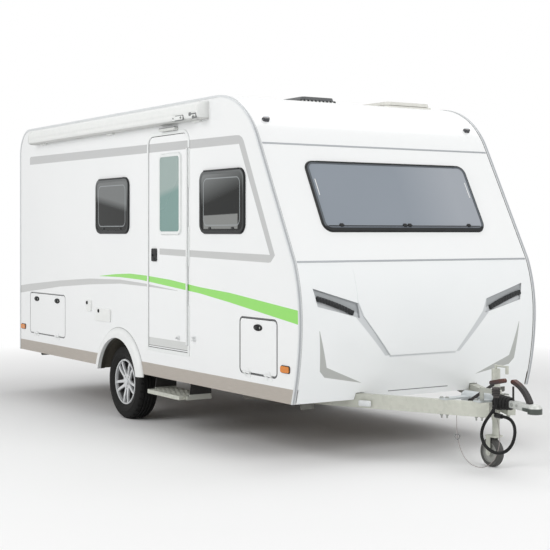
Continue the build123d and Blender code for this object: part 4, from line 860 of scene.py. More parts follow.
@dataclass(frozen=True)
class WindowPane(Pane):
    """Window acrylic: a paler sheet in the front window, darker ones with an edge line in the sides."""

    front_color: Rgb = (142, 150, 159)
    # Painted sheen over the left side of the front pane: its colour, where it starts and its share.
    front_sheen_color: Rgb = (164, 169, 176)
    front_sheen: Pair = (0.30, 0.5)
    sheen_share: float = 0.85
    # Painted shade in the strip under the front window's rail.
    front_low: Pair = (1.640, 1.661)
    front_low_shade: Rgb = (96, 102, 109)
    front_alpha: float = 0.97
    # Painted reflection that fades in toward the top of the side panes.
    top_reflection: Rgb = (130, 133, 133)
    fore_fade: Point = (4.0, 0.9, 0.12)
    rear_fade: Point = (0.15, 0.020, 0.07)
    rear_share: float = 0.8
    # Painted reflection in a band across the lower part of the forward side panes.
    low_reflection: Rgb = (134, 136, 134)
    low_reflection_low: float = -0.205
    low_reflection_top: Pair = (0.02, 0.098)
    low_reflection_span: Pair = (-0.268, 0.240)
    low_reflection_soft: Pair = (0.006, 0.01)
    line: Rgb = (158, 163, 165)
    line_half: Pair = (0.270, 0.178)
    line_corner: float = 0.05
    line_edge: Point = (-0.004, 0.004, 0.003)
    line_share: float = 0.8

    def ahead(self, graph: Graph) -> Field:
        """Mask of the front pane."""
        return graph.place()[Axis.X.value].over(FRONT_FROM, soft=0.01)

    def cover(self, graph: Graph) -> Number:
        """How much of the light the pane stops, more in the front one."""
        return self.ahead(graph) * (self.front_alpha - self.alpha) + self.alpha

    def side_pane(self, graph: Graph, share: Field) -> bpy.types.NodeSocket:
        """The side panes' colour with painted reflections at the top and lower part, and their edge line.

        Args:
            graph: The material's graph.
            share: Share of the second colour.

        Returns:
            The colour socket.
        """
        along, _, height = graph.place()
        middle, out, rise = SIDE_WINDOWS
        run = abs(along - middle) - out
        lift = height - rise
        fore = along.over(0.0)
        # Painted reflection fading in toward the top: steeper in forward panes, a softer share in the rear
        # ones.
        up, lean, start = self.fore_fade
        fade = (lift * up - run * lean - start).clip() * fore
        lean, start, soft = self.rear_fade
        fade = fade.high(lift.over(run * lean + start, soft) * (1.0 - fore) * self.rear_share)
        color = graph.mix(fade, super().base(graph, share), tint(self.top_reflection))
        # Painted reflection in a band across the lower part, forward panes only.
        lean, drop = self.low_reflection_top
        low_reflection = lift.within(self.low_reflection_low, run * lean - drop, self.low_reflection_soft[0])
        low_reflection = low_reflection * run.within(*self.low_reflection_span, self.low_reflection_soft[1]) * fore
        color = graph.mix(low_reflection, color, tint(self.low_reflection))
        edge = graph.outside(run, lift, self.line_half, self.line_corner).within(*self.line_edge)
        return graph.mix(edge * self.line_share, color, tint(self.line))

    def base(self, graph: Graph, share: Field) -> bpy.types.NodeSocket:
        """The colours of the front and the side panes.

        Args:
            graph: The material's graph.
            share: Share of the second colour.

        Returns:
            The colour socket.
        """
        _, across, height = graph.place()
        # Painted sheen toward the left side of the front pane.
        bright = across.over(*self.front_sheen) * self.sheen_share
        sheen = (bright + share * (1.0 - self.sheen_share)).clip()
        front = graph.mix(sheen, tint(self.front_color), tint(self.front_sheen_color))
        # Painted shade in the strip under the rail.
        front = graph.mix(height.within(*self.front_low), front, tint(self.front_low_shade))
        return graph.mix(self.ahead(graph), self.side_pane(graph, share), front)


@dataclass(frozen=True)
class WindowFrame(Finish):
    """Black frame profile with a paler inner bead."""

    slope: float = 0.8829
    bead: float = 0.014
    bead_from: float = 1.668
    bead_color: Rgb = (88, 94, 99)
    side_bead: float = 0.013
    side_low: Rgb = (40, 42, 42)
    side_high: Rgb = (100, 103, 103)
    side_turn: Pair = (0.10, 0.16)
    soft: float = 0.004

    def base(self, graph: Graph, share: Field) -> bpy.types.NodeSocket:
        """The profile's colour with the inner beads of the front and side windows.

        Args:
            graph: The material's graph.
            share: Share of the second colour.

        Returns:
            The colour socket.
        """
        along, across, height = graph.place()
        ahead = along.over(FRONT_FROM)
        climb = (height - FRONT_WINDOW_Z) / self.slope
        away = graph.outside(across, climb, FRONT_WINDOW_HALF, WINDOW_CORNER)
        inner = (1.0 - away.over(-self.bead, self.soft)) * ahead * height.over(self.bead_from, soft=0.01)
        color = graph.mix(inner, super().base(graph, share), tint(self.bead_color))
        middle, out, rise = SIDE_WINDOWS
        lift = height - rise
        away = graph.outside(abs(along - middle) - out, lift, SIDE_WINDOW_HALF, WINDOW_CORNER)
        inner = (1.0 - away.over(-self.side_bead, self.soft)) * (1.0 - ahead)
        bead = graph.mix(lift.over(*self.side_turn), tint(self.side_low), tint(self.side_high))
        return graph.mix(inner, color, bead)


@dataclass(frozen=True)
class DoorPane(Pane):
    """Frosted pane, paler and greyer in its upper part."""

    upper: Rgb = (152, 169, 165)
    split: Line = ((-0.039, 1.925), (0.288, 1.985))
    soft: float = 0.05

    def base(self, graph: Graph, share: Field) -> bpy.types.NodeSocket:
        """The pane's two tones.

        Args:
            graph: The material's graph.
            share: Share of the second colour.

        Returns:
            The colour socket.
        """
        along, _, height = graph.place()
        high = height.over(along.along(self.split), self.soft)
        return graph.mix(high, super().base(graph, share), tint(self.upper))


@dataclass(frozen=True)
class OverrunHousing(Finish):
    """Pale coated housing with a black cable hanger below its bellows."""

    hanger: Point = (2.734, -0.016, 0.441)
    hanger_color: Rgb = (30, 30, 31)

    def base(self, graph: Graph, share: Field) -> bpy.types.NodeSocket:
        """The housing's colour, and the hanger's.

        Args:
            graph: The material's graph.
            share: Share of the second colour.

        Returns:
            The colour socket.
        """
        along, across, height = graph.place()
        x, y, z = self.hanger
        black = along.over(x) * (1.0 - across.over(y)) * (1.0 - height.over(z))
        return graph.mix(black, super().base(graph, share), tint(self.hanger_color))


@dataclass(frozen=True)
class Coupling(Finish):
    """Pale cast neck whose ball socket is painted dark below as shade."""

    cup_from: Pair = (3.040, 0.012)
    cup_top: Pair = (0.467, 0.006)
    # Painted shade on the lower half of the ball socket.
    cup_shade: Rgb = (74, 80, 75)

    def base(self, graph: Graph, share: Field) -> bpy.types.NodeSocket:
        """The neck's colour, and painted shade on the lower half of the ball socket.

        Args:
            graph: The material's graph.
            share: Share of the second colour.

        Returns:
            The colour socket.
        """
        along, _, height = graph.place()
        # Painted shade on the lower half of the ball socket.
        low = along.over(*self.cup_from) * (1.0 - height.over(*self.cup_top))
        return graph.mix(low, super().base(graph, share), tint(self.cup_shade))


@dataclass(frozen=True)
class LeverGrip(Finish):
    """Black grips with a patchy red-brown painted highlight on their upper side."""

    # Patchy red-brown painted highlight on the grips' upper side, and its height span.
    top_highlight: Rgb = (96, 52, 42)
    top_highlight_span: Pair = (0.596, 0.640)
    patchy: float = 1.6

    def base(self, graph: Graph, share: Field) -> bpy.types.NodeSocket:
        """The grips' colour with the painted highlight on their tops.

        Args:
            graph: The material's graph.
            share: Share of the second colour.

        Returns:
            The colour socket.
        """
        _, _, height = graph.place()
        # Painted highlight, patchy, rising toward the grips' tops.
        low, high = self.top_highlight_span
        top = ((height - low) / (high - low) * share * self.patchy).clip()
        return graph.mix(top, super().base(graph, share), tint(self.top_highlight))


@dataclass(frozen=True)
class Lens(Finish):
    """Moulded lamp lens with fine ribs."""

    ribs: float = 900.0
    rib_axis: Axis = Axis.Z

    def pattern(self, graph: Graph) -> Tuple[Field, Field]:
        """Ribs across the lens.

        Args:
            graph: The material's graph.

        Returns:
            Share of the second colour, and relief height.
        """
        ridge = (graph.place()[self.rib_axis.value] * self.ribs).wave() * 0.5 + 0.5
        cloud = graph.noise(scale=30.0, detail=2.0)
        return (ridge * 0.6 + cloud * 0.4).clip(), ridge


@dataclass(frozen=True)
class BandedLens(Lens):
    """Lens with fields of other colours over its height."""

    bands: Tuple[Tuple[float, float, Rgb], ...] = ()

    def base(self, graph: Graph, share: Field) -> bpy.types.NodeSocket:
        """The lens fields.

        Args:
            graph: The material's graph.
            share: Share of the second colour.

        Returns:
            The colour socket.
        """
        color = super().base(graph, share)
        _, _, height = graph.place()
        for low, high, field_color in self.bands:
            color = graph.mix(height.within(low, high), color, tint(field_color))
        return color


@dataclass(frozen=True)
class JockeyTyre(Finish):
    """Solid grey tyre on a paler pressed hub."""

    axle: Pair = (2.612, 0.100)
    hub_radius: float = 0.069
    hub: Rgb = (156, 157, 153)

    def base(self, graph: Graph, share: Field) -> bpy.types.NodeSocket:
        """The tyre's colour, and the hub's inside it.

        Args:
            graph: The material's graph.
            share: Share of the second colour.

        Returns:
            The colour socket.
        """
        along, _, height = graph.place()
        away = graph.distance(along - self.axle[0], height - self.axle[1])
        return graph.mix(away.over(self.hub_radius), tint(self.hub), super().base(graph, share))


@dataclass(frozen=True)
class Pleats(Finish):
    """Pleated blind."""

    pitch: float = 0.02

    def pattern(self, graph: Graph) -> Tuple[Field, Field]:
        """Level pleats.

        Args:
            graph: The material's graph.

        Returns:
            Share of the second colour, and relief height.
        """
        fold = (graph.place()[Axis.Z.value] * (2.0 * math.pi / self.pitch)).wave() * 0.5 + 0.5
        return fold, fold


@dataclass(frozen=True)
class Timber(Finish):
    """Furniture board with a printed wood grain."""

    def pattern(self, graph: Graph) -> Tuple[Field, Field]:
        """Long upright figure.

        Args:
            graph: The material's graph.

        Returns:
            Share of the second colour, and relief height.
        """
        figure = graph.noise(self.scale, detail=6.0, stretch=(1.0, 1.0, 0.08))
        return (figure * 1.8 - 0.4).clip(), figure


WALL = StripedWall(
    "gloss wall film", (240, 241, 241), (236, 238, 238), (0.16, 0.24), Grain.GLOSS, "body_white",
    coat=0.3,
)
DOOR = DoorSkin(
    "gloss door film", (241, 242, 242), (237, 239, 239), (0.16, 0.24), Grain.GLOSS, "body_white",
    coat=0.3,
)
SHELL = Finish(
    "gloss shell white", (243, 244, 244), (239, 241, 241), (0.16, 0.26), Grain.GLOSS, "body_white",
    coat=0.3,
)
NOSE = NosePanel(
    "gloss nose moulding", (242, 244, 244), (236, 239, 240), (0.2, 0.3), Grain.GLOSS, "moulding_white",
    coat=0.25,
)
MOULDING = Finish(
    "satin white moulding", (236, 238, 237), (228, 231, 230), (0.3, 0.42), Grain.MOULDED,
    "moulding_white", scale=90.0, relief=0.00008,
)
ARCH = ArchMoulding(
    "arch moulding", (238, 239, 238), (230, 232, 231), (0.28, 0.4), Grain.MOULDED, "moulding_white",
    scale=90.0, relief=0.00006,
)
# The case's underside and lower edge, below the level, are painted grey as shade.
AWNING = SplitFinish(
    "awning case white", (238, 239, 237), (229, 231, 229), (0.32, 0.45), Grain.MOULDED, "white_plastic",
    scale=90.0, relief=0.00008, level=2.500, soft=0.008, under=(202, 203, 200),
)
PLASTIC = Finish(
    "white plastic", (238, 239, 237), (229, 231, 229), (0.32, 0.45), Grain.MOULDED, "white_plastic",
    scale=90.0, relief=0.00008,
)
TRIM = CornerTrim(
    "corner profile", (222, 225, 226), (212, 215, 216), (0.28, 0.4), Grain.BRUSHED, "trim_grey",
    scale=240.0, relief=0.00003,
)
SEAM = Finish(
    "seam cover strip", (172, 176, 179), (156, 160, 164), (0.32, 0.46), Grain.BRUSHED, "trim_grey",
    metallic=0.1, scale=240.0, relief=0.00004,
)
PLASTIC_GREY = Finish(
    "grey plastic", (226, 228, 228), (216, 218, 218), (0.36, 0.5), Grain.MOULDED, "trim_grey",
    scale=120.0, relief=0.00008,
)
CLEAR = Lens(
    "clear reflector", (236, 238, 238), (214, 218, 220), (0.12, 0.24), Grain.GLOSS, "white_plastic",
    coat=0.5, ribs=1200.0, relief=0.0002,
)
# Grey of small fittings, and of the dark plate of painted shadow round the awning arm.
SHADE_GREY = Finish(
    "grey fittings and painted shadow", (128, 130, 130), (112, 114, 114), (0.5, 0.66), Grain.CAST, "rubber", scale=120.0,
    relief=0.0001,
)
SKIRT = Finish(
    "anodised skirt", (184, 177, 168), (168, 160, 151), (0.36, 0.5), Grain.BRUSHED, "skirt_grey",
    metallic=0.1, scale=180.0, relief=0.00004,
)
FRAME_BLACK = Finish(
    "window frame black", (22, 24, 25), (32, 34, 35), (0.36, 0.5), Grain.MOULDED, "frame_black",
    scale=120.0, relief=0.00006, shine=0.25,
)
WINDOW_FRAME = WindowFrame(
    "window frame profile", (22, 24, 25), (32, 34, 35), (0.36, 0.5), Grain.MOULDED, "frame_black",
    scale=120.0, relief=0.00006, shine=0.25,
)
SEAL = Finish(
    "rubber seal", (24, 24, 24), (38, 38, 37), (0.55, 0.75), Grain.CAST, "rubber", scale=160.0,
    relief=0.0001, shine=0.35,
)
GLASS = WindowPane(
    "tinted window pane", (24, 27, 25), (18, 20, 19), (0.06, 0.12), Grain.GLOSS, "glazing", scale=2.0,
    relief=0.0001, shine=0.16, alpha=0.96,
)
FROST = DoorPane(
    "frosted door pane", (120, 152, 147), (114, 146, 141), (0.24, 0.32), Grain.GLOSS, "door_glazing",
    scale=3.0, relief=0.0001, shine=0.4, alpha=1.0,
)
BLIND = Pleats(
    "pleated blind", (176, 179, 180), (150, 154, 156), (0.7, 0.85), Grain.CLOTH, "blind_grey",
    relief=0.002,
)
# Black rubber, painted darker still as shade inside the arch.
RUBBER = Finish(
    "tyre rubber", (16, 16, 16), (27, 27, 26), (0.66, 0.86), Grain.CAST, "tyre", scale=40.0,
    relief=0.0003, shine=0.25,
)
JOCKEY_RUBBER = JockeyTyre(
    "jockey tyre rubber", (82, 82, 80), (66, 66, 64), (0.6, 0.8), Grain.CAST, "tyre", scale=60.0,
    relief=0.0003,
)
ALLOY = AlloyRim(
    "cast alloy silver", (222, 224, 225), (206, 208, 210), (0.26, 0.4), Grain.CAST, "alloy",
    metallic=0.35, coat=0.3, scale=90.0, relief=0.00006,
)
IRON = Finish(
    "brake drum iron", (64, 60, 56), (92, 76, 62), (0.6, 0.85), Grain.CAST, "cast_iron", metallic=0.4,
    scale=55.0, relief=0.0004,
)
ZINC = Finish(
    "hot dip zinc", (206, 207, 197), (180, 182, 172), (0.42, 0.6), Grain.SPANGLE, "galvanised",
    metallic=0.3, scale=36.0, relief=0.00015,
)
WELL = Finish(
    "wheel box lining", (92, 88, 78), (74, 70, 62), (0.78, 0.92), Grain.CLOTH, "hitch_black",
    scale=60.0, relief=0.0004,
)
# Step guides are zinc below the level and painted dark above it as shade under the body.
GUIDE = SplitFinish(
    "step guide", (34, 33, 31), (26, 25, 24), (0.5, 0.66), Grain.CAST, "galvanised", scale=60.0,
    relief=0.0002, level=0.333, under=(186, 188, 180),
)
# Drawbar zinc, painted dark toward the rear as shade under the body.
BAR_ZINC_AND_SHADE = SplitFinish(
    "drawbar zinc and painted shade", (206, 207, 197), (180, 182, 172), (0.42, 0.6), Grain.SPANGLE, "galvanised",
    metallic=0.3, scale=36.0, relief=0.00015, axis=Axis.X, level=1.60, soft=0.30, under=(92, 90, 84),
)
# Zinc of the parts under the body, painted dark as their shade.
SHADED_UNDERBODY = Finish(
    "underbody zinc in painted shade", (104, 102, 96), (82, 80, 75), (0.5, 0.68), Grain.SPANGLE, "galvanised",
    metallic=0.2, scale=36.0, relief=0.00015,
)
STEADY = Finish(
    "steady zinc", (122, 122, 116), (98, 98, 93), (0.46, 0.64), Grain.SPANGLE, "galvanised",
    metallic=0.3, scale=36.0, relief=0.00015,
)
HOUSING = OverrunHousing(
    "overrun housing coat", (204, 209, 210), (186, 192, 194), (0.36, 0.5), Grain.CAST, "galvanised",
    metallic=0.15, scale=60.0, relief=0.00015,
)
GRIP = LeverGrip(
    "lever grip", (36, 34, 34), (50, 46, 45), (0.42, 0.6), Grain.CAST, "hitch_black", scale=70.0,
    relief=0.0002,
)
COUPLING = Coupling(
    "coupling coat", (214, 216, 212), (190, 193, 188), (0.34, 0.5), Grain.CAST, "hitch_silver",
    metallic=0.2, scale=80.0, relief=0.0002,
)
PLUG = SplitFinish(
    "parked plug", (56, 52, 51), (78, 72, 69), (0.4, 0.58), Grain.MOULDED, "hitch_black", scale=120.0,
    relief=0.0001, axis=Axis.X, level=2.853, under=(170, 172, 164),
)
HITCH_SILVER = Finish(
    "hitch silver coat", (182, 184, 180), (152, 155, 150), (0.36, 0.54), Grain.CAST, "hitch_silver",
    metallic=0.4, scale=80.0, relief=0.0002,
)
AMBER = BandedLens(
    "amber lens", (228, 138, 30), (206, 114, 20), (0.16, 0.28), Grain.GLOSS, "lamp_amber", coat=0.15,
    relief=0.0004, bands=((2.3, 2.46, (54, 56, 60)), (2.46, 2.6, (190, 194, 198))),
)
TAIL = BandedLens(
    "tail lamp lens", (176, 24, 26), (140, 14, 18), (0.1, 0.22), Grain.GLOSS, "lamp_red", coat=0.6,
    relief=0.0004, bands=((0.862, 0.922, (224, 128, 30)), (0.702, 0.758, (226, 228, 228))),
)
LAMP_DARK = Lens(
    "dark lamp bar", (18, 20, 21), (38, 41, 43), (0.16, 0.3), Grain.GLOSS, "lamp_dark", coat=0.1,
    ribs=260.0, rib_axis=Axis.Y, relief=0.0003, shine=0.3,
)
PORCH = BandedLens(
    "porch lamp lens", (214, 216, 212), (198, 200, 197), (0.2, 0.34), Grain.GLOSS, "white_plastic",
    coat=0.3, ribs=240.0, rib_axis=Axis.X, relief=0.0004, bands=((2.459, 2.48, (112, 114, 114)),),
)
SMOKED = SplitFinish(
    "smoked vent", (72, 74, 76), (96, 98, 99), (0.2, 0.34), Grain.GLOSS, "smoked", coat=0.3,
    level=2.704, under=(206, 207, 205),
)
CREAM = Finish(
    "cream hatch", (228, 228, 222), (214, 213, 206), (0.32, 0.46), Grain.MOULDED, "cream", scale=80.0,
    relief=0.0001,
)
BOARD = Finish(
    "floor board", (120, 104, 86), (98, 84, 70), (0.6, 0.8), Grain.CLOTH, "floor_board", scale=30.0,
    relief=0.0004,
)
FURNITURE = Timber(
    "furniture board", (198, 168, 128), (170, 138, 98), (0.34, 0.5), Grain.CLOTH, "furniture",
    scale=18.0, relief=0.0002,
)
LEAD = Finish(
    "cable sheath", (12, 12, 13), (22, 22, 23), (0.5, 0.66), Grain.CAST, "rubber", scale=200.0,
    relief=0.0001, shine=0.25,
)
WIRE = Finish(
    "brake wire sheath", (158, 148, 146), (134, 124, 122), (0.35, 0.5), Grain.CAST, "wire_red",
    scale=300.0, relief=0.00005,
)

DRESS: Dict[str, Finish] = {
    "awning_case": AWNING, "axle_beam": SHADED_UNDERBODY, "brake_drum_left": IRON, "brake_drum_right": IRON,
    "breakaway_wire": WIRE, "cabin_furniture": FURNITURE, "chassis_rails": SHADED_UNDERBODY,
    "corner_steadies": STEADY, "corner_trims": TRIM, "coupling_head": COUPLING,
    "cross_members": SHADED_UNDERBODY, "door_frame": MOULDING,
    "door_handle": FRAME_BLACK, "door_hinge_leaf": MOULDING, "door_window_frame": MOULDING,
    "door_window_pane": FROST, "drawbar": BAR_ZINC_AND_SHADE, "entry_door": DOOR, "floor_panel": BOARD,
    "front_lamps": LAMP_DARK, "front_moulding": NOSE, "front_wall": SHELL, "hinge_bases": MOULDING,
    "hitch_bellows": SEAL, "hitch_housing": HOUSING, "hitch_levers": GRIP, "jockey_clamp": ZINC,
    "jockey_fork": ZINC, "jockey_tube": ZINC, "jockey_wheel": JOCKEY_RUBBER, "locker_door_front": WALL,
    "locker_door_rear": WALL, "marker_lamps": AMBER, "porch_lamp": PORCH, "rear_wall": SHELL,
    "rim_left": ALLOY, "rim_right": ALLOY, "roof_hatch_frame": CREAM, "roof_hatch_lid": CREAM,
    "roof_panel": SHELL, "roof_vent": SMOKED, "service_covers": PLASTIC, "side_skirts": SKIRT,
    "step_guides": GUIDE, "step_tread": ZINC, "tail_lamps": TAIL, "tail_panel": MOULDING, "tow_cable": LEAD,
    "tow_plug": PLUG, "trailing_arms": SHADED_UNDERBODY, "tyre_left": RUBBER, "tyre_right": RUBBER,
    "wall_left": WALL, "wall_right": WALL, "wheel_arches": ARCH, "wheel_boxes": WELL,
    "window_blinds": BLIND, "window_frames": WINDOW_FRAME, "window_panes": GLASS,
}


@dataclass(frozen=True)
class Plate:
    """Sizes of a flat plate with rounded corners and a softened face."""

    size: Pair
    corner: float
    thick: float
    round_by: float


class Piece:
    """One new piece: a bmesh shaped with operators, then closed as an object."""

    def __init__(self, name: str) -> None:
        """Start an empty piece of that name."""
        self.name = name
        self.mesh = bmesh.new()

    def turned(self, outline: Sequence[Pair], place: Matrix, steps: int, closed: bool = False) -> None:
        """Spin an outline round the place's Z axis.

        Args:
            outline: Corners as radius and height.
            place: Where the axis lies.
            steps: Steps of the full turn.
            closed: Whether the outline's end joins its start.
        """
        verts = [self.mesh.verts.new((radius, 0.0, height)) for radius, height in outline]
        edges = [self.mesh.edges.new(pair) for pair in zip(verts, verts[1:])]
        if closed:
            edges.append(self.mesh.edges.new((verts[-1], verts[0])))
        before = set(self.mesh.verts) - set(verts)
        bmesh.ops.spin(self.mesh, geom=verts + edges, axis=(0, 0, 1), cent=(0, 0, 0), steps=steps,
                       angle=2.0 * math.pi, use_merge=True)
        made = [vert for vert in self.mesh.verts if vert not in before]
        bmesh.ops.remove_doubles(self.mesh, verts=made, dist=1e-6)
        made = [vert for vert in self.mesh.verts if vert not in before]
        self.outward(made)
        bmesh.ops.transform(self.mesh, matrix=place, verts=made)

    def block(self, size: Point, place: Matrix, round_by: float = 0.0, segments: int = 2) -> None:
        """Add a block with rounded edges.

        Args:
            size: Size along the place's axes.
            place: The block's middle.
            round_by: Width of the edge rounding.
            segments: Segments of the rounding.
        """
        before = set(self.mesh.verts)
        scale = Matrix.Diagonal((size[0], size[1], size[2], 1.0))
        made = bmesh.ops.create_cube(self.mesh, size=1.0, matrix=place @ scale)["verts"]
        if round_by > 0.0:
            edges = list({edge for vert in made for edge in vert.link_edges})
            bmesh.ops.bevel(self.mesh, geom=edges, offset=round_by, offset_type="OFFSET", affect="EDGES",
                            segments=segments, profile=0.5, material=-1, clamp_overlap=True)
        self.outward([vert for vert in self.mesh.verts if vert not in before])

    def rounded(self, plate: Plate, place: Matrix) -> None:
        """Extrude a rectangle with rounded corners along the place's Z axis.

        Args:
            plate: Sizes of the plate.
            place: The middle of its seat.
        """
        before = set(self.mesh.verts)
        scale = Matrix.Diagonal((plate.size[0], plate.size[1], 1.0, 1.0))
        made = bmesh.ops.create_grid(self.mesh, x_segments=1, y_segments=1, size=0.5, matrix=scale)["verts"]
        bmesh.ops.bevel(self.mesh, geom=made, offset=plate.corner, offset_type="OFFSET", affect="VERTICES",
                        segments=6, profile=0.5, material=-1)
        face = next(face for face in self.mesh.faces if face.verts[0] not in before)
        grown = bmesh.ops.extrude_face_region(self.mesh, geom=[face])["geom"]
        lifted = [item for item in grown if isinstance(item, bmesh.types.BMVert)]
        bmesh.ops.translate(self.mesh, vec=(0.0, 0.0, plate.thick), verts=lifted)
        edges = list({edge for vert in lifted for edge in vert.link_edges
                      if all(end in lifted for end in edge.verts)})
        bmesh.ops.bevel(self.mesh, geom=edges, offset=plate.round_by, offset_type="OFFSET", affect="EDGES",
                        segments=2, profile=0.5, material=-1, clamp_overlap=True)
        made = [vert for vert in self.mesh.verts if vert not in before]
        self.outward(made)
        bmesh.ops.transform(self.mesh, matrix=place, verts=made)

    def arc(self, outline: Sequence[Pair], place: Matrix, start: float, sweep: float, steps: int) -> None:
        """Spin a closed outline part of a turn round the place's Z axis and close its ends.

        Args:
            outline: Corners as radius and height.
            place: Where the axis lies.
            start: Angle in degrees where it starts.
            sweep: Angle in degrees that it covers.
            steps: Steps of the sweep.
        """
        before = set(self.mesh.verts)
        verts = [self.mesh.verts.new((radius, 0.0, height)) for radius, height in outline]
        edges = [self.mesh.edges.new(pair) for pair in zip(verts, verts[1:] + verts[:1])]
        bmesh.ops.spin(self.mesh, geom=verts + edges, axis=(0, 0, 1), cent=(0, 0, 0), steps=steps,
                       angle=math.radians(sweep))
        made = [vert for vert in self.mesh.verts if vert not in before]
        edges = {edge for vert in made for edge in vert.link_edges if edge.is_boundary}
        bmesh.ops.holes_fill(self.mesh, edges=list(edges), sides=len(outline))
        self.outward(made)
        turn = Matrix.Rotation(math.radians(start), 4, "Z")
        bmesh.ops.transform(self.mesh, matrix=place @ turn, verts=made)

    def ring(self, place: Matrix, radius: float, thick: float, steps: int = 28, sides: int = 10) -> None:
        """Spin a round section into a ring about the place's Z axis.

        Args:
            place: The ring's middle.
            radius: Radius at the middle of the section.
            thick: Diameter of the section.
            steps: Steps of the full turn.
            sides: Sides of the section.
        """
        before = set(self.mesh.verts)
        stand = Matrix.Translation((radius, 0.0, 0.0)) @ Matrix.Rotation(math.pi / 2.0, 4, "X")
        made = bmesh.ops.create_circle(self.mesh, segments=sides, radius=thick / 2.0, matrix=stand)["verts"]
        edges = list({edge for vert in made for edge in vert.link_edges})
        bmesh.ops.spin(self.mesh, geom=made + edges, axis=(0, 0, 1), cent=(0, 0, 0), steps=steps,
                       angle=2.0 * math.pi, use_merge=True)
        made = [vert for vert in self.mesh.verts if vert not in before]
        bmesh.ops.remove_doubles(self.mesh, verts=made, dist=1e-6)
        made = [vert for vert in self.mesh.verts if vert not in before]
        self.outward(made)
        bmesh.ops.transform(self.mesh, matrix=place, verts=made)

    def rod(self, start: Point, end: Point, radius: float, steps: int = 14) -> None:
        """Add a round bar with chamfered ends.

        Args:
            start: Middle of its first end.
            end: Middle of its other end.
            radius: Its radius.
            steps: Steps round the bar.
        """
        run = Vector(end) - Vector(start)
        soft = radius * 0.25
        self.turned([(0.0, 0.0), (radius - soft, 0.0), (radius, soft), (radius, run.length - soft),
                     (radius - soft, run.length), (0.0, run.length)], facing(start, tuple(run)), steps)

    def bolt(self, place: Matrix, radius: float, height: float, washer: float = 1.35) -> None:
        """Add a hexagon bolt head on a washer.

        Args:
            place: The seat's middle, Z away from the seat.
            radius: Radius over the head's corners.
            height: Height of the head.
            washer: Washer radius as a multiple of the head's.
        """
        thin = height * 0.22
        self.turned([(0.0, 0.0), (radius * washer, 0.0), (radius * washer, thin * 0.7),
                     (radius * washer * 0.94, thin), (0.0, thin)], place, steps=16)
        self.turned([(0.0, thin), (radius, thin), (radius, height * 0.86), (radius * 0.84, height),
                     (0.0, height)], place, steps=6)

    def outward(self, verts: Sequence[bmesh.types.BMVert]) -> None:
        """Point the faces of these vertices outward."""
        faces = list({face for vert in verts for face in vert.link_faces})
        bmesh.ops.recalc_face_normals(self.mesh, faces=faces)

    def close(self, finish: Finish, body: Body, smooth: float = 35.0) -> bpy.types.Object:
        """Make the piece an object that rides on a body.

        Args:
            finish: The piece's finish.
            body: The body that carries it.
            smooth: Edges sharper than this many degrees stay sharp.

        Returns:
            The new object.
        """
        for face in self.mesh.faces:
            face.smooth = True
        for edge in self.mesh.edges:
            edge.smooth = len(edge.link_faces) == 2 and edge.calc_face_angle(0.0) < math.radians(smooth)
        data = bpy.data.meshes.new(self.name)
        self.mesh.to_mesh(data)
        self.mesh.free()
        made = bpy.data.objects.new(self.name, data)
        bpy.context.scene.collection.objects.link(made)
        data.materials.append(finish.make())
        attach(made, body.value)
        LOG.info("%s: %d faces on %s", self.name, len(data.polygons), body.value)
        return made


def facing(spot: Point, out: Point) -> Matrix:
    """A place at a spot whose Z axis points out.

    Args:
        spot: The place's origin.
        out: Direction of its Z axis.

    Returns:
        The place.
    """
    turn = Vector(UP).rotation_difference(Vector(out)).to_matrix().to_4x4()
    return Matrix.Translation(spot) @ turn


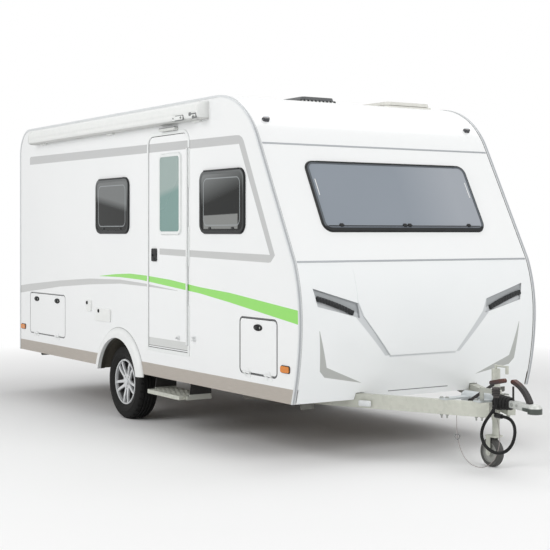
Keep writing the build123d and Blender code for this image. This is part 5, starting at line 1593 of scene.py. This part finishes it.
@dataclass
class Studio:
    """Floor, soft light and the camera."""

    eye: Point = (9.176, -5.903, 1.617)
    heading: float = 57.33
    lens: float = 82.84
    shift: float = -0.0767
    sensor: float = 36.0
    far: float = 200.0
    floor_size: float = 60.0
    floor_color: Rgba = (0.88, 0.88, 0.88, 1.0)
    floor_fade: Pair = (6.0, 4.0)
    sky: float = 0.54
    lamps: Tuple[Tuple[str, Point, Point, float, float], ...] = (
        ("front lamp", (9.0, 1.0, 6.0), (1.5, 0.0, 1.3), 5.0, 270.0),
        ("side lamp", (0.5, -9.0, 5.5), (-0.3, 0.0, 1.3), 6.0, 330.0),
        ("top lamp", (-1.0, 3.0, 9.0), (-0.5, 0.0, 2.0), 7.0, 230.0),
    )

    def camera(self) -> None:
        """Place the camera where the picture was taken."""
        data = bpy.data.cameras.new("photo camera")
        data.lens = self.lens
        data.sensor_width = self.sensor
        data.shift_y = self.shift
        data.clip_end = self.far
        made = bpy.data.objects.new("photo camera", data)
        made.location = self.eye
        made.rotation_euler = (math.radians(90.0), 0.0, math.radians(self.heading))
        bpy.context.scene.collection.objects.link(made)
        bpy.context.scene.camera = made

    def background(self) -> None:
        """White surroundings for the eye and for gloss, softer light on the object."""
        graph = Graph(bpy.data.worlds.new("studio"))
        strength = graph.seen() * (1.0 - self.sky) + self.sky
        light = graph.node("ShaderNodeBackground", None, {"Color": WHITE, "Strength": strength})
        graph.node("ShaderNodeOutputWorld", None, {"Surface": light.outputs[0]})
        bpy.context.scene.world = graph.owner

    def floor(self) -> None:
        """Pale floor that turns to the background's white away from the caravan."""
        graph = Graph(bpy.data.materials.new("pale floor"))
        along, across, _ = graph.place()
        share = graph.distance(along, across).over(*self.floor_fade) * graph.seen()
        pale = graph.node("ShaderNodeBsdfDiffuse", None, {"Color": self.floor_color}).outputs[0]
        white = graph.node("ShaderNodeEmission", None, {"Color": WHITE, "Strength": 1.0}).outputs[0]
        both = graph.node("ShaderNodeMixShader", None, {0: share, 1: pale, 2: white})
        graph.node("ShaderNodeOutputMaterial", None, {"Surface": both.outputs[0]})
        mesh = bmesh.new()
        bmesh.ops.create_grid(mesh, x_segments=1, y_segments=1, size=self.floor_size / 2.0)
        data = bpy.data.meshes.new("floor")
        mesh.to_mesh(data)
        mesh.free()
        data.materials.append(graph.owner)
        made = bpy.data.objects.new("floor", data)
        bpy.context.scene.collection.objects.link(made)

    def lamp(self, name: str, spot: Point, aim: Point, size: float, power: float) -> None:
        """Add a soft square lamp.

        Args:
            name: The lamp's name.
            spot: Where it hangs.
            aim: The point it shines at.
            size: Its side.
            power: Its power in watts.
        """
        data = bpy.data.lights.new(name, "AREA")
        data.shape = "SQUARE"
        data.size = size
        data.energy = power
        made = bpy.data.objects.new(name, data)
        made.location = spot
        made.rotation_euler = (Vector(aim) - Vector(spot)).to_track_quat("-Z", "Y").to_euler()
        bpy.context.scene.collection.objects.link(made)

    def build(self) -> None:
        """Set the whole studio up."""
        bpy.context.scene.view_settings.view_transform = "Standard"
        self.camera()
        self.background()
        self.floor()
        for name, spot, aim, size, power in self.lamps:
            self.lamp(name, spot, aim, size, power)


@dataclass
class Leads:
    """The tow cable and the breakaway wire at the drawbar."""

    cable_route: Tuple[Point, ...] = (
        (2.868, -0.054, 0.388), (2.936, -0.054, 0.388), (3.006, -0.074, 0.356), (3.042, -0.098, 0.296),
        (3.030, -0.116, 0.220), (2.972, -0.134, 0.164), (2.888, -0.150, 0.156), (2.814, -0.162, 0.196),
        (2.784, -0.166, 0.264), (2.806, -0.160, 0.340), (2.852, -0.142, 0.408), (2.880, -0.118, 0.466),
        (2.880, -0.118, 0.520),
    )
    cable_thick: float = 0.022
    cable_length: float = 0.90
    wire_route: Tuple[Point, ...] = (
        (2.585, -0.206, 0.377), (2.585, -0.206, 0.322), (2.592, -0.210, 0.268), (2.602, -0.210, 0.214),
        (2.614, -0.204, 0.160), (2.632, -0.192, 0.108), (2.662, -0.172, 0.064), (2.704, -0.144, 0.034),
        (2.750, -0.112, 0.032), (2.790, -0.080, 0.062), (2.810, -0.054, 0.110), (2.814, -0.034, 0.164),
        (2.808, -0.018, 0.218), (2.794, -0.008, 0.270), (2.776, -0.002, 0.322), (2.752, 0.0, 0.372),
        (2.752, 0.0, 0.427),
    )
    wire_thick: float = 0.004
    wire_length: float = 0.89

    def lead(self, name: str, route: Sequence[Point], thick: float, finish: Finish) -> bpy.types.Object:
        """Lay one lead along its route.

        Args:
            name: The lead's name.
            route: Control points of its line.
            thick: Its diameter.
            finish: Its sheath.

        Returns:
            The curve object.
        """
        data = bpy.data.curves.new(name, "CURVE")
        data.dimensions = "3D"
        data.bevel_depth = thick / 2.0
        data.bevel_resolution = 4
        data.resolution_u = 10
        data.use_fill_caps = True
        spline = data.splines.new("NURBS")
        spline.points.add(len(route) - 1)
        for point, spot in zip(spline.points, route):
            point.co = (spot[0], spot[1], spot[2], 1.0)
        spline.order_u = 3
        spline.use_endpoint_u = True
        made = bpy.data.objects.new(name, data)
        bpy.context.scene.collection.objects.link(made)
        data.materials.append(finish.make())
        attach(made, Body.CARAVAN.value)
        LOG.info("%s: %d route points", name, len(route))
        return made

    def build(self) -> None:
        """Lay both leads."""
        cable = self.lead("tow_lead", self.cable_route, self.cable_thick, LEAD)
        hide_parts("tow_cable")
        wire = self.lead("brake_wire", self.wire_route, self.wire_thick, WIRE)
        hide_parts("breakaway_wire")


@dataclass
class RoadWheels:
    """Tyres with their tread, wheel bolts and valves."""

    tyre_y: float = 0.9685
    steps: int = 90
    half: Line = (
        (0.198, 0.0750), (0.203, 0.0815), (0.212, 0.0878), (0.224, 0.0928), (0.236, 0.0960),
        (0.248, 0.0974), (0.2505, 0.0985), (0.2555, 0.0985), (0.258, 0.0970), (0.272, 0.0953),
        (0.286, 0.0922), (0.298, 0.0885), (0.307, 0.0828), (0.3135, 0.0752), (0.317, 0.0675),
        (0.3186, 0.0500), (0.3110, 0.0490), (0.3110, 0.0420), (0.3192, 0.0410), (0.3198, 0.0200),
        (0.3115, 0.0190), (0.3115, 0.0110), (0.3199, 0.0100), (0.320, 0.0),
    )
    slot_from: Pair = (0.307, 0.046)
    slot_every: int = 3
    slot_inset: float = 0.0022
    slot_depth: float = 0.004
    bolt_circle: float = 0.049
    bolt_seat: float = 1.0205
    bolt_head: Point = (0.0083, 0.014, 1.04)
    bolts: int = 5
    valve_spot: Pair = (0.1785, 0.990)
    valve_turn: float = 36.0
    valve: Line = (
        (0.0, 0.0), (0.0065, 0.0), (0.0062, 0.012), (0.004, 0.016), (0.004, 0.026), (0.0048, 0.027),
        (0.0048, 0.036), (0.0036, 0.038), (0.0, 0.038),
    )

    def tyre(self, side: int, body: Body, node: str) -> None:
        """Spin a tyre and cut the cross slots of its shoulders.

        Args:
            side: -1 on the right, 1 on the left.
            body: The wheel's body.
            node: The solid it stands for.
        """
        piece = Piece("tread_" + node)
        place = facing((AXLE[0], side * self.tyre_y, AXLE[1]), (0.0, side, 0.0))
        outline = list(self.half) + [(radius, -out) for radius, out in reversed(self.half[:-1])]
        piece.turned(outline, place, self.steps, closed=True)
        back = place.inverted()
        slots = []
        for face in piece.mesh.faces:
            spot = back @ face.calc_center_median()
            turn = math.atan2(spot.y, spot.x) / (2.0 * math.pi) * self.steps
            far = math.hypot(spot.x, spot.y) > self.slot_from[0] and abs(spot.z) > self.slot_from[1]
            if far and math.floor(turn) % self.slot_every == 0:
                slots.append(face)
        bmesh.ops.inset_individual(piece.mesh, faces=slots, thickness=self.slot_inset,
                                   depth=-self.slot_depth, use_even_offset=True)
        made = piece.close(RUBBER, body, smooth=30.0)
        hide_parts(node)

    def on_wheel(self, side: int, turn: float, radius: float, out: float) -> Matrix:
        """A place on a wheel's outer face.

        Args:
            side: -1 on the right, 1 on the left.
            turn: Angle from straight up, in degrees.
            radius: Distance from the axle.
            out: Distance from the middle plane.

        Returns:
            The place, its Z axis outward.
        """
        angle = math.radians(turn)
        spot = (AXLE[0] + math.sin(angle) * radius, side * out, AXLE[1] + math.cos(angle) * radius)
        return facing(spot, (0.0, side, 0.0))

    def fasteners(self, side: int, body: Body, name: str) -> None:
        """Put the bolts and the valve into a wheel.

        Args:
            side: -1 on the right, 1 on the left.
            body: The wheel's body.
            name: Name of the side.
        """
        bolts = Piece("wheel_bolts_" + name)
        for index in range(self.bolts):
            turn = (index + 0.5) * 360.0 / self.bolts
            bolts.bolt(self.on_wheel(side, turn, self.bolt_circle, self.bolt_seat), *self.bolt_head)
        bolts.close(HITCH_SILVER, body)
        valve = Piece("wheel_valve_" + name)
        valve.turned(self.valve, self.on_wheel(side, self.valve_turn, *self.valve_spot), steps=14)
        valve.close(SEAL, body)

    def build(self) -> None:
        """Build both wheels."""
        for side, body, name in ((-1, Body.WHEEL_RIGHT, "right"), (1, Body.WHEEL_LEFT, "left")):
            self.tyre(side, body, "tyre_" + name)
            self.fasteners(side, body, name)


@dataclass
class WheelLiners:
    """Curved splash liners that carry the wheel boxes down to the lower edge of the body."""

    radii: Pair = (0.395, 0.400)
    reach: Pair = (0.802, 1.062)
    span: Pair = (13.0, 36.4)
    steps: int = 8

    def build(self) -> None:
        """Hang a liner before and behind each wheel."""
        piece = Piece("wheel_liners")
        low, high = self.radii
        first, last = self.span
        place = Matrix.Translation((AXLE[0], 0.0, AXLE[1])) @ Matrix.Rotation(math.pi / 2.0, 4, "X")
        for side in (-1, 1):
            near, far = sorted(-side * reach for reach in self.reach)
            outline = [(low, near), (high, near), (high, far), (low, far)]
            for start in (first, 180.0 - last):
                piece.arc(outline, place, start, last - first, self.steps)
        piece.close(WELL, Body.CARAVAN)


@dataclass
class SeamTrims:
    """Grey cover strips over the two cross seams of the front."""

    seams: Line = ((1.4655, 2.265), (1.917, 1.4159))
    size: Point = (0.014, 2.136, 0.005)
    round_by: float = 0.0015

    def build(self) -> None:
        """Lay both strips."""
        for index, (x, z) in enumerate(self.seams):
            piece = Piece("seam_trim_%d" % (index + 1))
            piece.block(self.size, facing((x, 0.0, z), FRONT_OUT), self.round_by)
            piece.close(SEAM, Body.CARAVAN)


@dataclass
class Latches:
    """Turn latches of the lockers, locks of the small flaps and the door retainer."""

    flap_face: float = 1.110
    locker_spots: Tuple[Tuple[str, float, float, Body], ...] = (
        ("front", 1.460, 0.936, Body.LOCKER_FRONT),
        ("rear_aft", -2.700, 0.962, Body.LOCKER_REAR),
        ("rear_fore", -2.190, 0.962, Body.LOCKER_REAR),
    )
    oval: Pair = (0.116, 0.048)
    oval_rim: Line = ((0.0, 0.0), (0.0, 0.004), (0.003, 0.008), (0.007, 0.008), (0.009, 0.005))
    oval_floor: float = 0.005
    paddle: Plate = Plate((0.052, 0.022), 0.0088, 0.009, 0.003)
    paddle_shift: float = -0.008
    barrel: Line = (
        (0.0, 0.0), (0.0085, 0.0), (0.0085, 0.0022), (0.0075, 0.003), (0.0016, 0.003), (0.0016, 0.0014),
        (0.0, 0.0014),
    )
    barrel_shift: float = 0.032
    barrel_out: float = 0.0048
    flap_spots: Line = ((-1.479, 0.980), (-1.231, 0.918))
    flap_lock: Line = (
        (0.0, 0.0), (0.017, 0.0), (0.017, 0.002), (0.015, 0.004), (0.011, 0.004), (0.011, 0.007),
        (0.0095, 0.008), (0.002, 0.008), (0.002, 0.006), (0.0, 0.006),
    )
    peg_spot: Pair = (0.262, 0.779)
    peg_plate: Plate = Plate((0.046, 0.036), 0.008, 0.005, 0.002)
    peg: Line = (
        (0.0, 0.0), (0.011, 0.0), (0.008, 0.006), (0.007, 0.016), (0.010, 0.020), (0.010, 0.024),
        (0.007, 0.027), (0.0, 0.027),
    )
    clip_spot: Pair = (0.520, 0.788)
    clip_plate: Plate = Plate((0.050, 0.040), 0.008, 0.005, 0.002)
    clip_jaw: Point = (0.032, 0.022, 0.007)
    clip_jaw_out: float = 0.014
    clip_jaws: Pair = (-0.012, 0.012)

    def on_wall(self, x: float, z: float, out: float = 0.0) -> Matrix:
        """A place on the right wall.

        Args:
            x: Place along the wall.
            z: Height.
            out: Offset out of the wall.

        Returns:
            The place, its Z axis out of the wall.
        """
        return facing((x, -WALL_FACE - out, z), RIGHT)

    def latch(self, name: str, x: float, z: float, body: Body) -> None:
        """Put one oval latch on a locker door.

        Args:
            name: The latch's name.
            x: Place along the wall.
            z: Height.
            body: The locker door's body.
        """
        piece = Piece("latch_" + name)
        stretch = Matrix.Diagonal((self.oval[0] / self.oval[1], 1.0, 1.0, 1.0))
        half = self.oval[1] / 2.0
        rim = [(half - inset, rise) for inset, rise in self.oval_rim]
        piece.turned([(0.0, 0.0), *rim, (0.0, self.oval_floor)], self.on_wall(x, z) @ stretch, steps=32)
        piece.rounded(self.paddle, self.on_wall(x + self.paddle_shift, z, self.oval_floor))
        piece.close(FRAME_BLACK, body)
        barrel = Piece("latch_barrel_" + name)
        barrel.turned(self.barrel, self.on_wall(x + self.barrel_shift, z, self.barrel_out), steps=18)
        barrel.close(HITCH_SILVER, body)

    def flap_locks(self) -> None:
        """Put a round lock on each small flap."""
        piece = Piece("flap_locks")
        for x, z in self.flap_spots:
            piece.turned(self.flap_lock, facing((x, -self.flap_face, z), RIGHT), steps=20)
        piece.close(FRAME_BLACK, Body.CARAVAN)

    def retainer(self) -> None:
        """Put the door's peg on the door and its clip on the wall."""
        peg = Piece("door_peg")
        peg.rounded(self.peg_plate, self.on_wall(*self.peg_spot))
        peg.turned(self.peg, self.on_wall(*self.peg_spot, self.peg_plate.thick), steps=18)
        peg.close(PLASTIC_GREY, Body.DOOR)
        clip = Piece("door_clip")
        clip.rounded(self.clip_plate, self.on_wall(*self.clip_spot))
        x, z = self.clip_spot
        for rise in self.clip_jaws:
            jaw = Matrix.Translation((x, -WALL_FACE - self.clip_jaw_out, z + rise))
            clip.block(self.clip_jaw, jaw, round_by=0.002)
        clip.close(PLASTIC_GREY, Body.CARAVAN)

    def build(self) -> None:
        """Build all latches."""
        for name, x, z, body in self.locker_spots:
            self.latch(name, x, z, body)
        self.flap_locks()
        self.retainer()


@dataclass
class WindowFittings:
    """Front window rail, catches, hinge and painted stay highlights; side window hinge rails and catches.
    """

    front_x: float = 1.669
    front_down: Point = (0.4695, 0.0, -0.8829)
    pane_out: float = 0.011
    rail: Point = (0.008, 1.430, 0.005)
    rail_up: float = 0.047
    catches: Tuple[float, ...] = (-0.600, -0.022, 0.022, 0.600)
    catch_rise: float = 0.006
    catch_knob: Point = (0.026, 0.030, 0.016)
    catch_foot: Point = (0.012, 0.046, 0.009)
    hinge: Point = (0.014, 1.310, 0.006)
    hinge_spot: Pair = (0.014, 0.013)
    # White strips on the front pane that stand for painted highlights of the window stays.
    clip: Point = (0.135, 0.007, 0.004)
    stay_highlight_spots: Line = ((-0.712, -0.07), (0.712, -0.07))
    side_spots: Tuple[Tuple[float, int], ...] = ((-0.9579, -1), (0.9518, -1), (-0.9579, 1), (0.9518, 1))
    side_hinge: Plate = Plate((0.526, 0.012), 0.005, 0.009, 0.003)
    side_hinge_spot: Pair = (1.109, 0.006)
    side_catch: Plate = Plate((0.040, 0.016), 0.006, 0.004, 0.0015)
    side_catch_spot: Pair = (1.111, 0.046)
    side_catches: Pair = (-0.17, 0.17)

    def on_front(self, across: float, down: float, out: float) -> Matrix:
        """A place on the front window.

        Args:
            across: Offset to the left of the window's middle.
            down: Offset down the slope.
            out: Offset out of the wall.

        Returns:
            The place, its Z axis out of the wall.
        """
        spot = Vector((self.front_x, across, FRONT_WINDOW_Z)) + Vector(self.front_down) * down
        return facing(tuple(spot + Vector(FRONT_OUT) * out), FRONT_OUT)

    def front(self) -> None:
        """Dress the front window."""
        half = FRONT_WINDOW_HALF[1]
        rail_down = half - self.rail_up
        rail = Piece("front_window_rail")
        rail.block(self.rail, self.on_front(0.0, rail_down, self.pane_out), round_by=0.0015)
        for across in self.catches:
            place = self.on_front(across, rail_down - self.catch_rise, self.pane_out)
            rail.block(self.catch_knob, place, round_by=0.004)
            rail.block(self.catch_foot, place, round_by=0.003)
        rail.close(FRAME_BLACK, Body.CARAVAN)
        hinge = Piece("front_window_hinge")
        down, out = self.hinge_spot
        hinge.block(self.hinge, self.on_front(0.0, down - half, out), round_by=0.002)
        hinge.close(FRAME_BLACK, Body.CARAVAN)
        # White strips as painted highlights of the stays inside the front window.
        stay_highlights = Piece("front_window_stay_highlights")
        for across, down in self.stay_highlight_spots:
            stay_highlights.block(self.clip, self.on_front(across, down, self.pane_out), round_by=0.0015)
        stay_highlights.close(PLASTIC, Body.CARAVAN)

    def sides(self) -> None:
        """Put a hinge rail over each side window and two catches inside its lower edge."""
        height, half = SIDE_WINDOWS[2], SIDE_WINDOW_HALF[1]
        for index, (x, side) in enumerate(self.side_spots):
            out = (0.0, side, 0.0)
            piece = Piece("side_window_hinge_%d" % (index + 1))
            face, drop = self.side_hinge_spot
            piece.rounded(self.side_hinge, facing((x, side * face, height + half - drop), out))
            face, rise = self.side_catch_spot
            for across in self.side_catches:
                piece.rounded(self.side_catch, facing((x + across, side * face, height - half + rise), out))
            piece.close(FRAME_BLACK, Body.CARAVAN)

    def build(self) -> None:
        """Dress all windows."""
        self.front()
        self.sides()


@dataclass
class AwningFittings:
    """Arm end over a dark plate of painted shadow, hook and wall brackets of the awning case."""

    seat: float = 1.196
    lip: float = 1.201
    arm_spot: Pair = (0.430, 2.513)
    # Dark plate of painted shadow round the arm's end.
    arm_shadow: Plate = Plate((0.190, 0.044), 0.010, 0.006, 0.002)
    arm_end: Plate = Plate((0.172, 0.030), 0.008, 0.012, 0.003)
    knuckle: Plate = Plate((0.050, 0.042), 0.012, 0.014, 0.004)
    knuckle_shift: Pair = (-0.055, 0.002)
    pin: Pair = (0.007, 0.006)
    pin_seat: float = 1.208
    pins: Pair = (-0.055, 0.064)
    hook_span: Pair = (0.628, 0.728)
    hook_rise: Pair = (2.499, 2.530)
    hook_bar: float = 0.005
    hook_post: float = 0.006
    hook_post_over: float = 0.004
    hook_short: float = 0.055
    hook_eye: Pair = (0.010, 0.006)
    hook_eye_shift: Pair = (0.050, 0.004)
    hook_foot: Plate = Plate((0.030, 0.026), 0.006, 0.009, 0.003)
    bracket: Point = (0.120, 0.030, 0.014)
    bracket_spot: Pair = (-1.114, 2.484)
    brackets: Tuple[float, ...] = (-2.50, -0.97, 0.58)
    bracket_bolt: Pair = (0.007, 0.005)
    bracket_bolts: Pair = (-0.035, 0.035)

    def arm(self) -> None:
        """Set the arm's end and its pins over a dark plate of painted shadow."""
        x, z = self.arm_spot
        place = facing((x, -self.seat, z), RIGHT)
        # Dark plate of painted shadow round the arm's end.
        slot = Piece("awning_arm_shadow")
        slot.rounded(self.arm_shadow, place)
        slot.close(SHADE_GREY, Body.CARAVAN)
        arm = Piece("awning_arm_end")
        arm.rounded(self.arm_end, place)
        along, rise = self.knuckle_shift
        arm.rounded(self.knuckle, facing((x + along, -self.seat, z + rise), RIGHT))
        arm.close(PLASTIC, Body.CARAVAN)
        pins = Piece("awning_arm_pins")
        for shift in self.pins:
            pins.bolt(facing((x + shift, -self.pin_seat, z), RIGHT), *self.pin)
        pins.close(SHADE_GREY, Body.CARAVAN)

    def hook(self) -> None:
        """Bend the hook from round bars and put its eye and foot on."""
        piece = Piece("awning_hook")
        (rear, ahead), (low, high) = self.hook_span, self.hook_rise
        y, over = -self.lip, self.hook_post_over
        piece.rod((rear, y, high), (ahead, y, high), self.hook_bar)
        piece.rod((ahead, y, low - over), (ahead, y, high + over), self.hook_post)
        piece.rod((rear + self.hook_short, y, low), (ahead, y, low), self.hook_bar)
        along, rise = self.hook_eye_shift
        piece.ring(facing((rear + along, y, low + rise), RIGHT), *self.hook_eye)
        piece.rounded(self.hook_foot, facing((rear, -self.seat, high), RIGHT))
        piece.close(SHADE_GREY, Body.CARAVAN)

    def wall_brackets(self) -> None:
        """Bolt the case's brackets to the wall."""
        piece = Piece("awning_brackets")
        y, z = self.bracket_spot
        for along in self.brackets:
            piece.block(self.bracket, Matrix.Translation((along, y, z)), round_by=0.004)
            for shift in self.bracket_bolts:
                place = facing((along + shift, y, z - self.bracket[2] / 2.0), DOWN)
                piece.bolt(place, *self.bracket_bolt)
        piece.close(PLASTIC, Body.CARAVAN)

    def build(self) -> None:
        """Build the fittings."""
        self.arm()
        self.hook()
        self.wall_brackets()


@dataclass
class HitchFittings:
    """Bolts of the hitch plates and coupling, plug grip, wire eye, clamp screw and bar reflectors."""

    bar_tip: Pair = (2.802, 0.095)
    bar_slope: float = 0.5115
    bar_bottom: float = 0.377
    plate_top: float = 0.487
    plates: Pair = (2.505, 2.729)
    pitch: float = 0.018
    plate_bolt: Pair = (0.012, 0.010)
    stud: Pair = (0.028, 0.006)
    neck_bolts: Pair = (2.935, 2.985)
    neck_half: float = 0.0295
    neck_z: float = 0.472
    neck_bolt: Pair = (0.011, 0.009)
    plug: Pair = (2.880, -0.118)
    grip_z: Tuple[float, ...] = (0.540, 0.551, 0.562, 0.573)
    grip: Pair = (0.0268, 0.006)
    eye_spot: Point = (2.606, -0.218, 0.232)
    eye_out: Point = (0.84, -0.54, 0.1)
    eye: Pair = (0.017, 0.006)
    screw: Tuple[Point, Point] = ((2.650, 0.128, 0.500), (2.650, 0.178, 0.500))
    screw_radius: float = 0.007
    handle: Tuple[Point, Point] = ((2.612, 0.176, 0.500), (2.688, 0.176, 0.500))
    handle_radius: float = 0.005
    reflector_spot: Pair = (1.978, 0.412)
    reflector_out: float = 0.028
    reflector_base: Plate = Plate((0.098, 0.042), 0.012, 0.006, 0.002)
    reflector_lens: Plate = Plate((0.086, 0.032), 0.009, 0.006, 0.002)
    lens_out: float = 0.005

    def bar_y(self, x: float) -> float:
        """Distance of a drawbar's middle line from the hitch's middle."""
        return self.bar_tip[1] + (self.bar_tip[0] - x) * self.bar_slope

    def plate_bolts(self) -> None:
        """Bolt the plates through the drawbar."""
        piece = Piece("hitch_plate_bolts")
        length, radius = self.stud
        for middle in self.plates:
            for shift in (-self.pitch, self.pitch):
                for side in (-1, 1):
                    x = middle + shift
                    y = side * self.bar_y(x)
                    foot = (x, y, self.bar_bottom)
                    piece.bolt(facing((x, y, self.plate_top), UP), *self.plate_bolt)
                    piece.bolt(facing(foot, DOWN), *self.plate_bolt)
                    piece.rod(foot, (x, y, self.bar_bottom - length), radius)
        piece.close(HITCH_SILVER, Body.CARAVAN)

    def coupling(self) -> None:
        """Bolt the coupling through its neck."""
        piece = Piece("coupling_bolts")
        for x in self.neck_bolts:
            for side in (-1, 1):
                place = facing((x, side * self.neck_half, self.neck_z), (0.0, side, 0.0))
                piece.bolt(place, *self.neck_bolt)
        piece.close(HITCH_SILVER, Body.CARAVAN)

    def plug_grip(self) -> None:
        """Put grip rings round the parked plug."""
        piece = Piece("plug_grip")
        for z in self.grip_z:
            piece.ring(Matrix.Translation((*self.plug, z)), *self.grip)
        piece.close(SEAL, Body.CARAVAN)

    def wire_eye(self) -> None:
        """Hang a split ring on the breakaway wire."""
        piece = Piece("wire_eye")
        piece.ring(facing(self.eye_spot, self.eye_out), *self.eye)
        piece.close(SHADE_GREY, Body.CARAVAN)

    def clamp_screw(self) -> None:
        """Put the cross-handled screw on the jockey clamp."""
        piece = Piece("jockey_clamp_screw")
        piece.rod(*self.screw, self.screw_radius)
        piece.rod(*self.handle, self.handle_radius)
        piece.close(HITCH_SILVER, Body.CARAVAN)

    def on_bar(self, side: int) -> Matrix:
        """A place for a reflector on the outer face of a drawbar.

        Args:
            side: -1 on the right, 1 on the left.

        Returns:
            The place, its X axis along the bar and its Z axis outward.
        """
        x, z = self.reflector_spot
        run = Vector((1.0, -side * self.bar_slope, 0.0)).normalized()
        out = Vector((run.y, -run.x, 0.0)) * (-side)
        spot = Vector((x, side * self.bar_y(x), z)) + out * self.reflector_out
        turn = Matrix((run, out.cross(run), out)).transposed().to_4x4()
        return Matrix.Translation(spot) @ turn

    def reflectors(self) -> None:
        """Put a white reflector on the outer face of each drawbar."""
        for side, name in ((-1, "right"), (1, "left")):
            place = self.on_bar(side)
            base = Piece("bar_reflector_base_" + name)
            base.rounded(self.reflector_base, place)
            base.close(PLASTIC_GREY, Body.CARAVAN)
            lens = Piece("bar_reflector_" + name)
            lens.rounded(self.reflector_lens, place @ Matrix.Translation((0.0, 0.0, self.lens_out)))
            lens.close(CLEAR, Body.CARAVAN)

    def build(self) -> None:
        """Build the fittings."""
        self.plate_bolts()
        self.coupling()
        self.plug_grip()
        self.wire_eye()
        self.clamp_screw()
        self.reflectors()


@dataclass
class LampFittings:
    """Base plates of the side markers, bezels of the tail lamps and cells of the front lamps."""

    marker_spots: Line = ((-3.050, 0.668), (1.822, 0.668))
    marker_base: Plate = Plate((0.116, 0.054), 0.017, 0.005, 0.002)
    tail_spot: Point = (-3.163, 0.900, 0.810)
    tail_bezel: Plate = Plate((0.356, 0.206), 0.052, 0.006, 0.002)
    cell_spot: Point = (1.984, 0.795, 1.108)
    cell_turn: float = 19.6
    cell_half: float = 0.150
    cell_bow: float = 0.007
    cell: Point = (0.022, 0.035, 0.036)
    cell_round: float = 0.006
    cells: int = 11

    def front_cells(self) -> None:
        """Set a row of lens cells along each front lamp, bowed upward."""
        x, y, z = self.cell_spot
        for side, name in ((-1, "right"), (1, "left")):
            piece = Piece("lamp_cells_" + name)
            turn = Matrix.Rotation(side * math.radians(self.cell_turn), 4, "X")
            row = Matrix.Translation((x, side * y, z)) @ turn
            for index in range(self.cells):
                share = 2.0 * index / (self.cells - 1) - 1.0
                rise = self.cell_bow * (1.0 - share * share)
                shift = Matrix.Translation((0.0, share * self.cell_half, rise))
                piece.block(self.cell, row @ shift, self.cell_round)
            piece.close(LAMP_DARK, Body.CARAVAN)

    def build(self) -> None:
        """Build the lamp cells, the marker bases and the tail bezels."""
        self.front_cells()
        base = Piece("marker_bases")
        for x, z in self.marker_spots:
            for side in (-1, 1):
                base.rounded(self.marker_base, facing((x, side * WALL_FACE, z), (0.0, side, 0.0)))
        base.close(SEAL, Body.CARAVAN)
        bezel = Piece("tail_lamp_bezels")
        x, y, z = self.tail_spot
        for side in (-1, 1):
            bezel.rounded(self.tail_bezel, facing((x, side * y, z), (-1.0, 0.0, 0.0)))
        bezel.close(FRAME_BLACK, Body.CARAVAN)


@dataclass
class RoofVent:
    """Louvre ribs up the slope of the roof vent's hood."""

    middle: Point = (0.402, 0.050, 2.690)
    half: float = 0.150
    rib: Point = (0.013, 0.010, 0.046)
    rib_out: float = 0.1785
    rib_round: float = 0.002
    lean: float = 24.0
    ribs: int = 9

    def build(self) -> None:
        """Lay the ribs along all four sides."""
        piece = Piece("vent_ribs")
        lean = Matrix.Rotation(math.radians(self.lean), 4, "X")
        for turn in range(4):
            quarter = Matrix.Translation(self.middle) @ Matrix.Rotation(turn * math.pi / 2.0, 4, "Z")
            for index in range(self.ribs):
                along = self.half * (2.0 * index / (self.ribs - 1) - 1.0)
                place = quarter @ Matrix.Translation((along, self.rib_out, 0.0)) @ lean
                piece.block(self.rib, place, self.rib_round, segments=1)
        piece.close(FRAME_BLACK, Body.CARAVAN)


@dataclass
class ChassisFittings:
    """Pivot nuts of the corner steadies."""

    pivots: Pair = (1.400, -2.530)
    pivot_spot: Pair = (0.951, 0.492)
    nut: Pair = (0.014, 0.010)

    def build(self) -> None:
        """Put a nut on each pivot."""
        piece = Piece("steady_nuts")
        y, z = self.pivot_spot
        for x in self.pivots:
            for side in (-1, 1):
                piece.bolt(facing((x, side * y, z), (0.0, side, 0.0)), *self.nut)
        piece.close(HITCH_SILVER, Body.CARAVAN)


@dataclass
class CadDress:
    """Finishes of the solids that stay as they are."""

    table: Dict[str, Finish] = field(default_factory=lambda: DRESS)

    def build(self) -> None:
        """Give every solid its finish."""
        for name, finish in self.table.items():
            for material_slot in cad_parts[name].material_slots:
                material_slot.material = finish.make()
            LOG.info("%s: %s", name, finish.name)


def main() -> None:
    """Build the scene, sub-assembly by sub-assembly."""
    logging.basicConfig(level=logging.INFO, format="%(name)s %(message)s")
    Studio().build()
    Leads().build()
    CadDress().build()
    RoadWheels().build()
    WheelLiners().build()
    SeamTrims().build()
    Latches().build()
    WindowFittings().build()
    AwningFittings().build()
    HitchFittings().build()
    LampFittings().build()
    RoofVent().build()
    ChassisFittings().build()


if __name__ == "__main__":
    main()
